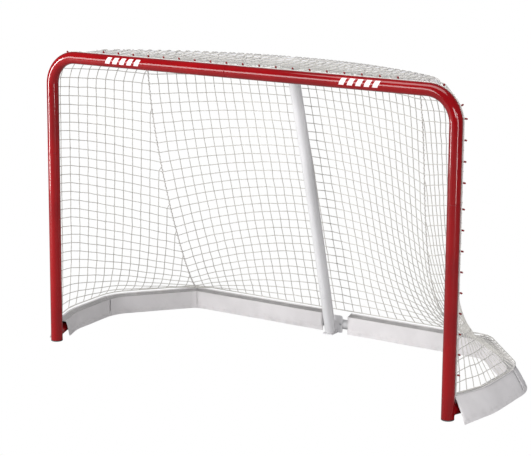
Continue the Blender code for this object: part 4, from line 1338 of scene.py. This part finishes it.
def base_lacing(side):
    """The cord that ties net and skirt to the base tube, wound round it."""
    shape = outline()
    start = shape.sizes.base_stub + LACING_START
    end = shape.base_length - LACING_END
    turns = int((end - start) / LACING_PITCH)
    radius = shape.rear_r + shape.net.lacing / 2 + 0.0010
    points = []
    for index in range(turns * 24 + 1):
        place, heading = place_on(shape.base, start + LACING_PITCH * index / 24)
        angle = math.tau * index / 24
        points.append(place + (level_outward(heading) * math.cos(angle)
                               + UP * math.sin(angle)) * radius)
    work = Workpiece()
    work.bar(flipped(points, side), shape.net.lacing / 2, 8)
    return work


# -------------------------------------------------------------------- skirts

class SkirtForm:
    """One folded skirt: where its cloth lies at any place along and across it."""

    def __init__(self, name, side, first, last, splay, slant=0.0):
        self.name, self.side, self.first, self.last = name, side, first, last
        self.splay, self.slant = splay, slant
        self.shape = outline()
        rng = random.Random(name)
        self.waves = [(rng.uniform(9, 30), rng.uniform(0, math.tau), rng.uniform(0.4, 1.0))
                      for _ in range(4)]
        c = self.shape.cloth
        self.crest = c.fold + math.hypot(c.inner, c.ridge - c.fold)

    def wave(self, along):
        return sum(size * math.sin(rate * along + shift)
                   for rate, shift, size in self.waves) / len(self.waves)

    def profile(self, share, drop, along):
        """The cloth's section: drop is metres of cloth from the inner leg's foot."""
        c = self.shape.cloth
        foot = self.splay(share)
        slope = math.hypot(c.inner, c.ridge - c.fold)
        outer = math.hypot(foot, c.ridge)
        if drop <= c.fold:
            n, z = -c.inner, drop
            n += self.wave(along) * c.ripple * (1 - drop / c.fold)
        elif drop <= c.fold + slope:
            part = (drop - c.fold) / slope
            n, z = -c.inner * (1 - part), c.fold + (c.ridge - c.fold) * part
            z -= 0.0022 * math.sin(math.pi * part)
        else:
            part = min(1.0, (drop - c.fold - slope) / outer)
            n, z = foot * part, c.ridge * (1 - part)
            n += self.wave(along * 1.3 + 2.0) * c.ripple * 1.4 * part
            n += 0.0035 * math.sin(math.pi * part)
        return n, z

    def width(self, share):
        c = self.shape.cloth
        return self.crest + math.hypot(self.splay(share), c.ridge)

    def point(self, share, drop, lift=0.0):
        """A point on the cloth, or lifted off it on the outside of the fold."""
        along = self.first + (self.last - self.first) * share
        n, z = self.profile(share, drop, along)
        c = self.shape.cloth
        near = (1 - share) ** 6 * (1 - z / c.ridge)
        if self.name.endswith("side_skirt"):
            along += (c.cut_back if drop < c.fold else -self.slant) * near
            along = max(along, 0.0)
        place, heading = place_on(self.shape.base, along)
        outward = level_outward(heading)
        if lift:
            before = self.profile(share, drop - 0.001, along)
            after = self.profile(share, drop + 0.001, along)
            run = Vector((after[0] - before[0], after[1] - before[1])).normalized()
            n, z = n - run.y * lift, z + run.x * lift
        place = Vector((place.x, place.y, max(z, 0.0))) + outward * n
        return Vector((place.x * self.side, place.y, place.z))

    def steps(self, spacing=0.012):
        return max(6, math.ceil((self.last - self.first) / spacing))

    def cloth(self):
        work = Workpiece()
        count = self.steps()
        rows = []
        c = self.shape.cloth
        for index in range(count + 1):
            share = index / count
            width = self.width(share)
            fold, ridge = c.fold, self.crest
            drops = list(np.linspace(0.0, fold - 0.004, 9)) + [fold, fold + 0.004]
            drops += list(np.linspace(fold + 0.010, ridge - 0.004, 4)) + [ridge, ridge + 0.004]
            drops += list(np.linspace(ridge + 0.012, width, 9))
            rows.append([self.point(share, drop) for drop in drops])
        across = drops
        along = [(self.last - self.first) * index / count for index in range(count + 1)]
        work.skin(rows, along, across, round_rows=False)
        return work

    def strip(self, low, high, lift, thickness, folds=3):
        """A thin closed band laid along the cloth between two drops."""
        work = Workpiece()
        count = self.steps()
        rows = []
        for index in range(count + 1):
            share = index / count
            near, far = low(share), high(share)
            drops = [near + (far - near) * part / folds for part in range(folds + 1)]
            over = [self.point(share, drop, lift + thickness) for drop in drops]
            under = [self.point(share, drop, lift) for drop in reversed(drops)]
            rows.append(over + under)
        width = len(rows[0])
        along = [(self.last - self.first) * index / count for index in range(count + 1)]
        across = list(np.linspace(0, 0.026, width + 1))
        first = work.skin(rows, along, across)
        work.fan(first, width, True)
        work.fan(first + count * width, width, False)
        return work

    def stitches(self, lines, lift):
        """Rows of single stitches sunk into the cloth at both ends."""
        c = self.shape.cloth
        work = Workpiece()
        length = self.last - self.first
        pitch = c.stitch * 1.55
        count = int((length - 0.012) / pitch)
        for line in lines:
            for index in range(count):
                start = (0.006 + index * pitch) / length
                end = start + c.stitch / length
                places = [(start, -0.0004), ((start * 3 + end) / 4, 0.00025),
                          ((start + end * 3) / 4, 0.00025), (end, -0.0004)]
                path = [self.point(share, line(share), lift + rise) for share, rise in places]
                work.bar(path, 0.00042, 5)
        return work


def skirt_forms():
    shape = outline()
    c, s = shape.cloth, shape.sizes
    bend = s.base_bend * 0.94
    gap = 0.0016

    def spread(share):
        return c.splay + (c.splay_front - c.splay) * (1 - share) ** 3

    def tucked(share):
        return c.splay + (c.tucked - c.splay) * (1 - share) ** 3

    def plain(share):
        return c.splay

    for word, side in SIDES:
        notch = BRACKET_HALF_WIDTH + (0.006 if side < 0 else 0.030)
        yield SkirtForm(f"{word}_side_skirt", side, c.start, bend - gap,
                        *((spread, c.slant) if side > 0 else (tucked, 0.0)))
        yield SkirtForm(f"{word}_corner_skirt", side, bend + gap, shape.seam_base - gap, plain)
        yield SkirtForm(f"{word}_rear_skirt", side, shape.seam_base + gap,
                        shape.base_length - notch, plain)


def make_skirt(form):
    c = form.shape.cloth
    node = form.name
    fold = c.fold
    ridge = form.crest
    middle_width = form.width(0.5)
    # A dark grey tape over the fold and the ridge: painted shade along the skirt's sloping top.
    shade_tape = form.strip(lambda share: fold + 0.001, lambda share: ridge + 0.004,
                      c.cloth / 2 + 0.0002, 0.0010).finished(f"painted_shade_tape_of_{node}", "shade_tape")
    hems = (form.strip(lambda share: 0.0004, lambda share: c.hem, c.cloth / 2 + 0.0001,
                       0.0012),
            form.strip(lambda share: form.width(share) - c.hem,
                       lambda share: form.width(share) - 0.0004, c.cloth / 2 + 0.0001, 0.0012))
    inner_hem = hems[0].finished(f"inner_hem_of_{node}", "skirt")
    outer_hem = hems[1].finished(f"outer_hem_of_{node}", "skirt")
    lift = c.cloth / 2 + 0.0013
    sewn = form.stitches((lambda share: c.hem - 0.003,
                          lambda share: form.width(share) - c.hem + 0.003,
                          lambda share: fold, lambda share: ridge - 0.006),
                         lift).finished(f"stitches_of_{node}", "thread")
    cloth = form.cloth().finished(f"canvas_of_{node}", "skirt", node, sharp=80)
    shell = cloth.modifiers.new("thickness", "SOLIDIFY")
    shell.thickness = c.cloth
    shell.offset = 0.0
    length = form.last - form.first
    return cloth


# ------------------------------------------------------------------ operators

class FrontFrameOperator(bpy.types.Operator):
    """Make the red posts, bends and crossbar, with their stubs, welds and pegs"""
    bl_idname = "goal.front_frame"
    bl_label = "Front frame"

    def execute(self, context):
        for word, side in SIDES:
            corner_tube(side).finished(f"red_corner_tube_{word}", "front_tube",
                                       f"{word}_corner_tube")
            lower_post(side).finished(f"red_lower_post_{word}", "front_tube",
                                      f"{word}_lower_post")
            stripes(side).finished(f"crossbar_stripes_{word}", "stripe")
        return {"FINISHED"}


class FootPlugOperator(bpy.types.Operator):
    """Make the moulded plugs that the posts stand on"""
    bl_idname = "goal.foot_plugs"
    bl_label = "Foot plugs"

    def execute(self, context):
        for word, side in SIDES:
            foot_plug(side).finished(f"moulded_foot_plug_{word}", "foot_plug",
                                     f"{word}_foot_plug", sharp=50)
        return {"FINISHED"}


class RearFrameOperator(bpy.types.Operator):
    """Make the grey shelf and base tubes"""
    bl_idname = "goal.rear_frame"
    bl_label = "Shelf and base tubes"

    def execute(self, context):
        shape = outline()
        s = shape.sizes
        for word, side in SIDES:
            for part, axis, stub, length in (
                    ("base", shape.base, s.base_stub, shape.base_length),
                    ("shelf", shape.shelf, s.shelf_stub, shape.shelf_length)):
                path = flipped(cut_path(axis, stub + 2 * JOINT_GAP, length - JOINT_GAP), side)
                rear_tube(path, f"grey_{part}_tube_{word}", f"{word}_{part}_tube")
        return {"FINISHED"}


class CentrePoleOperator(bpy.types.Operator):
    """Make the centre pole with its top saddle and foot bracket"""
    bl_idname = "goal.centre_pole"
    bl_label = "Centre pole"

    def execute(self, context):
        centre_pole()
        foot_bracket()
        top_saddle()
        return {"FINISHED"}


class JointOperator(bpy.types.Operator):
    """Finish the sleeves inside the tubes and make every screw"""
    bl_idname = "goal.joints"
    bl_label = "Sleeves and screws"

    def execute(self, context):
        for name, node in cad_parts.items():
            if name.endswith("_sleeve"):
                node.data.materials.clear()
                node.data.materials.append(finish_of("joint_steel"))
        for node, inward in SCREWS:
            screw(node, inward)
        return {"FINISHED"}


class NetOperator(bpy.types.Operator):
    """Knot the side, back and top nets"""
    bl_idname = "goal.nets"
    bl_label = "Nets"

    def execute(self, context):
        for word, side in SIDES:
            side_net(side).finished(f"knotted_side_net_{word}", "net", f"net_{word}_side")
        back_net().finished("knotted_back_net", "net", "net_back")
        top_net().finished("knotted_top_net", "net", "net_top")
        return {"FINISHED"}


class CordOperator(bpy.types.Operator):
    """Lay the border rope, the seam cords and the lacings"""
    bl_idname = "goal.cords"
    bl_label = "Cords and lacings"

    def execute(self, context):
        border_rope().finished("braided_border_rope", "cord", "border_rope")
        for word, side in SIDES:
            seam_cord(side).finished(f"braided_seam_cord_{word}", "cord",
                                     f"{word}_seam_cord")
            base_lacing(side).finished(f"braided_base_lacing_{word}", "cord",
                                       f"{word}_base_lacing")
        whipping = Workpiece()
        whipping.bar(shelf_wraps(), outline().net.lacing / 2 * 0.8, 7)
        whipping.finished("shelf_whipping", "cord")
        return {"FINISHED"}


class SkirtOperator(bpy.types.Operator):
    """Sew the folded canvas skirts over the base tube"""
    bl_idname = "goal.skirts"
    bl_label = "Skirts"

    def execute(self, context):
        for form in skirt_forms():
            make_skirt(form)
        return {"FINISHED"}


class StageOperator(bpy.types.Operator):
    """Set up the pale floor, the soft lights and the camera"""
    bl_idname = "goal.stage"
    bl_label = "Studio"

    def execute(self, context):
        studio = context.scene.goal_studio
        context.scene.view_settings.view_transform = "Standard"
        make_floor(context.scene)
        make_room(context.scene, studio)
        make_lights(context.scene, studio)
        make_camera(context.scene, studio)
        return {"FINISHED"}


def make_floor(scene):
    work = bpy.data.meshes.new("studio_floor")
    half = 60.0
    work.from_pydata([(-half, -half, -0.0005), (half, -half, -0.0005), (half, half, -0.0005),
                      (-half, half, -0.0005)], [], [(0, 1, 2, 3)])
    floor = bpy.data.objects.new("studio_floor", work)
    scene.collection.objects.link(floor)
    recipe = Recipe("pale_floor", Roughness=0.9)
    recipe.shader.inputs["Base Color"].default_value = (0.30, 0.30, 0.30, 1.0)
    seen = Level(recipe, recipe.add("ShaderNodeLightPath").outputs["Is Camera Ray"])
    glow = recipe.add("ShaderNodeEmission", None,
                      {"Color": (*scene.goal_colours.floor, 1.0), "Strength": 1.0})
    mixed = recipe.add("ShaderNodeMixShader", None, {0: seen})
    recipe.tree.links.new(recipe.shader.outputs[0], mixed.inputs[1])
    recipe.tree.links.new(glow.outputs[0], mixed.inputs[2])
    target = recipe.tree.nodes["Material Output"]
    recipe.tree.links.new(mixed.outputs[0], target.inputs["Surface"])
    work.materials.append(recipe.material)


def make_room(scene, studio):
    world = bpy.data.worlds.new("studio_room")
    world.use_nodes = True
    nodes, links = world.node_tree.nodes, world.node_tree.links
    even, bright = nodes["Background"], nodes.new("ShaderNodeBackground")
    even.inputs["Color"].default_value = (0.93, 0.96, 1.0, 1.0)
    bright.inputs["Color"].default_value = (*scene.goal_colours.floor, 1.0)
    seen, mixed = nodes.new("ShaderNodeLightPath"), nodes.new("ShaderNodeMixShader")
    links.new(seen.outputs["Is Camera Ray"], mixed.inputs[0])
    dim = nodes.new("ShaderNodeMapRange")
    dim.inputs["To Min"].default_value = studio.room
    dim.inputs["To Max"].default_value = studio.room * 0.35
    links.new(seen.outputs["Is Glossy Ray"], dim.inputs["Value"])
    links.new(dim.outputs["Result"], even.inputs["Strength"])
    links.new(even.outputs[0], mixed.inputs[1])
    links.new(bright.outputs[0], mixed.inputs[2])
    links.new(mixed.outputs[0], nodes["World Output"].inputs["Surface"])
    scene.world = world


def make_lights(scene, studio):
    aim = Vector((0, 0, 0.6))
    for name, place, power, wide, high in (
            ("bar_softbox", (-3.6, -6.2, 2.2), studio.key, 4.8, 2.4),
            ("top_softbox", (0.3, -1.0, 4.6), studio.top, 4.0, 2.0),
            ("camera_fill", (4.6, -6.0, 2.6), studio.fill, 2.0, 2.0),
            ("left_strip", (-3.4, -2.6, 0.9), studio.side, 0.5, 1.8),
            ("right_strip", (4.2, -2.4, 1.2), studio.side * 0.5, 0.35, 2.4)):
        lamp = bpy.data.lights.new(name, "AREA")
        lamp.shape = "RECTANGLE"
        lamp.size, lamp.size_y, lamp.energy = wide, high, power
        holder = bpy.data.objects.new(name, lamp)
        scene.collection.objects.link(holder)
        holder.location = place
        holder.rotation_mode = "QUATERNION"
        holder.rotation_quaternion = (aim - Vector(place)).to_track_quat("-Z", "Y")


def make_camera(scene, studio):
    data = bpy.data.cameras.new("studio_camera")
    data.sensor_width = 36.0
    data.lens = studio.lens
    data.shift_y = studio.shift
    camera = bpy.data.objects.new("studio_camera", data)
    scene.collection.objects.link(camera)
    turn = (Matrix.Rotation(studio.yaw, 4, "Z")
            @ Matrix.Rotation(math.pi / 2 + studio.pitch, 4, "X")
            @ Matrix.Rotation(-studio.roll, 4, "Z"))
    camera.matrix_world = Matrix.Translation(Vector(studio.camera)) @ turn
    scene.camera = camera


# ----------------------------------------------------------------- the add-on

STEPS = (StageOperator, FrontFrameOperator, FootPlugOperator, RearFrameOperator,
         CentrePoleOperator, JointOperator, NetOperator, CordOperator, SkirtOperator)


class GoalPanel(bpy.types.Panel):
    """Lists the goal's pieces, sizes and colours"""
    bl_idname = "VIEW3D_PT_ice_hockey_goal"
    bl_label = "Ice Hockey Goal"
    bl_space_type = "VIEW_3D"
    bl_region_type = "UI"
    bl_category = "Goal"

    def draw(self, context):
        for step in STEPS:
            self.layout.operator(step.bl_idname)
        for group in GROUPS:
            box = self.layout.box()
            holder = getattr(context.scene, group)
            for name in holder.__annotations__:
                box.prop(holder, name)


GROUPS = {"goal_frame": GoalFrameSizes, "goal_net": GoalNetSizes,
          "goal_skirts": GoalSkirtSizes, "goal_colours": GoalColours,
          "goal_studio": GoalStudio}
CLASSES = (*GROUPS.values(), *STEPS, GoalPanel)


def register():
    for each in CLASSES:
        bpy.utils.register_class(each)
    for name, group in GROUPS.items():
        setattr(bpy.types.Scene, name, PointerProperty(type=group))


def unregister():
    for name in GROUPS:
        delattr(bpy.types.Scene, name)
    for each in reversed(CLASSES):
        bpy.utils.unregister_class(each)


def main():
    register()
    for step in STEPS:
        family, name = step.bl_idname.split(".")
        getattr(getattr(bpy.ops, family), name)()
    bpy.context.view_layer.update()


if __name__ == "__main__":
    main()
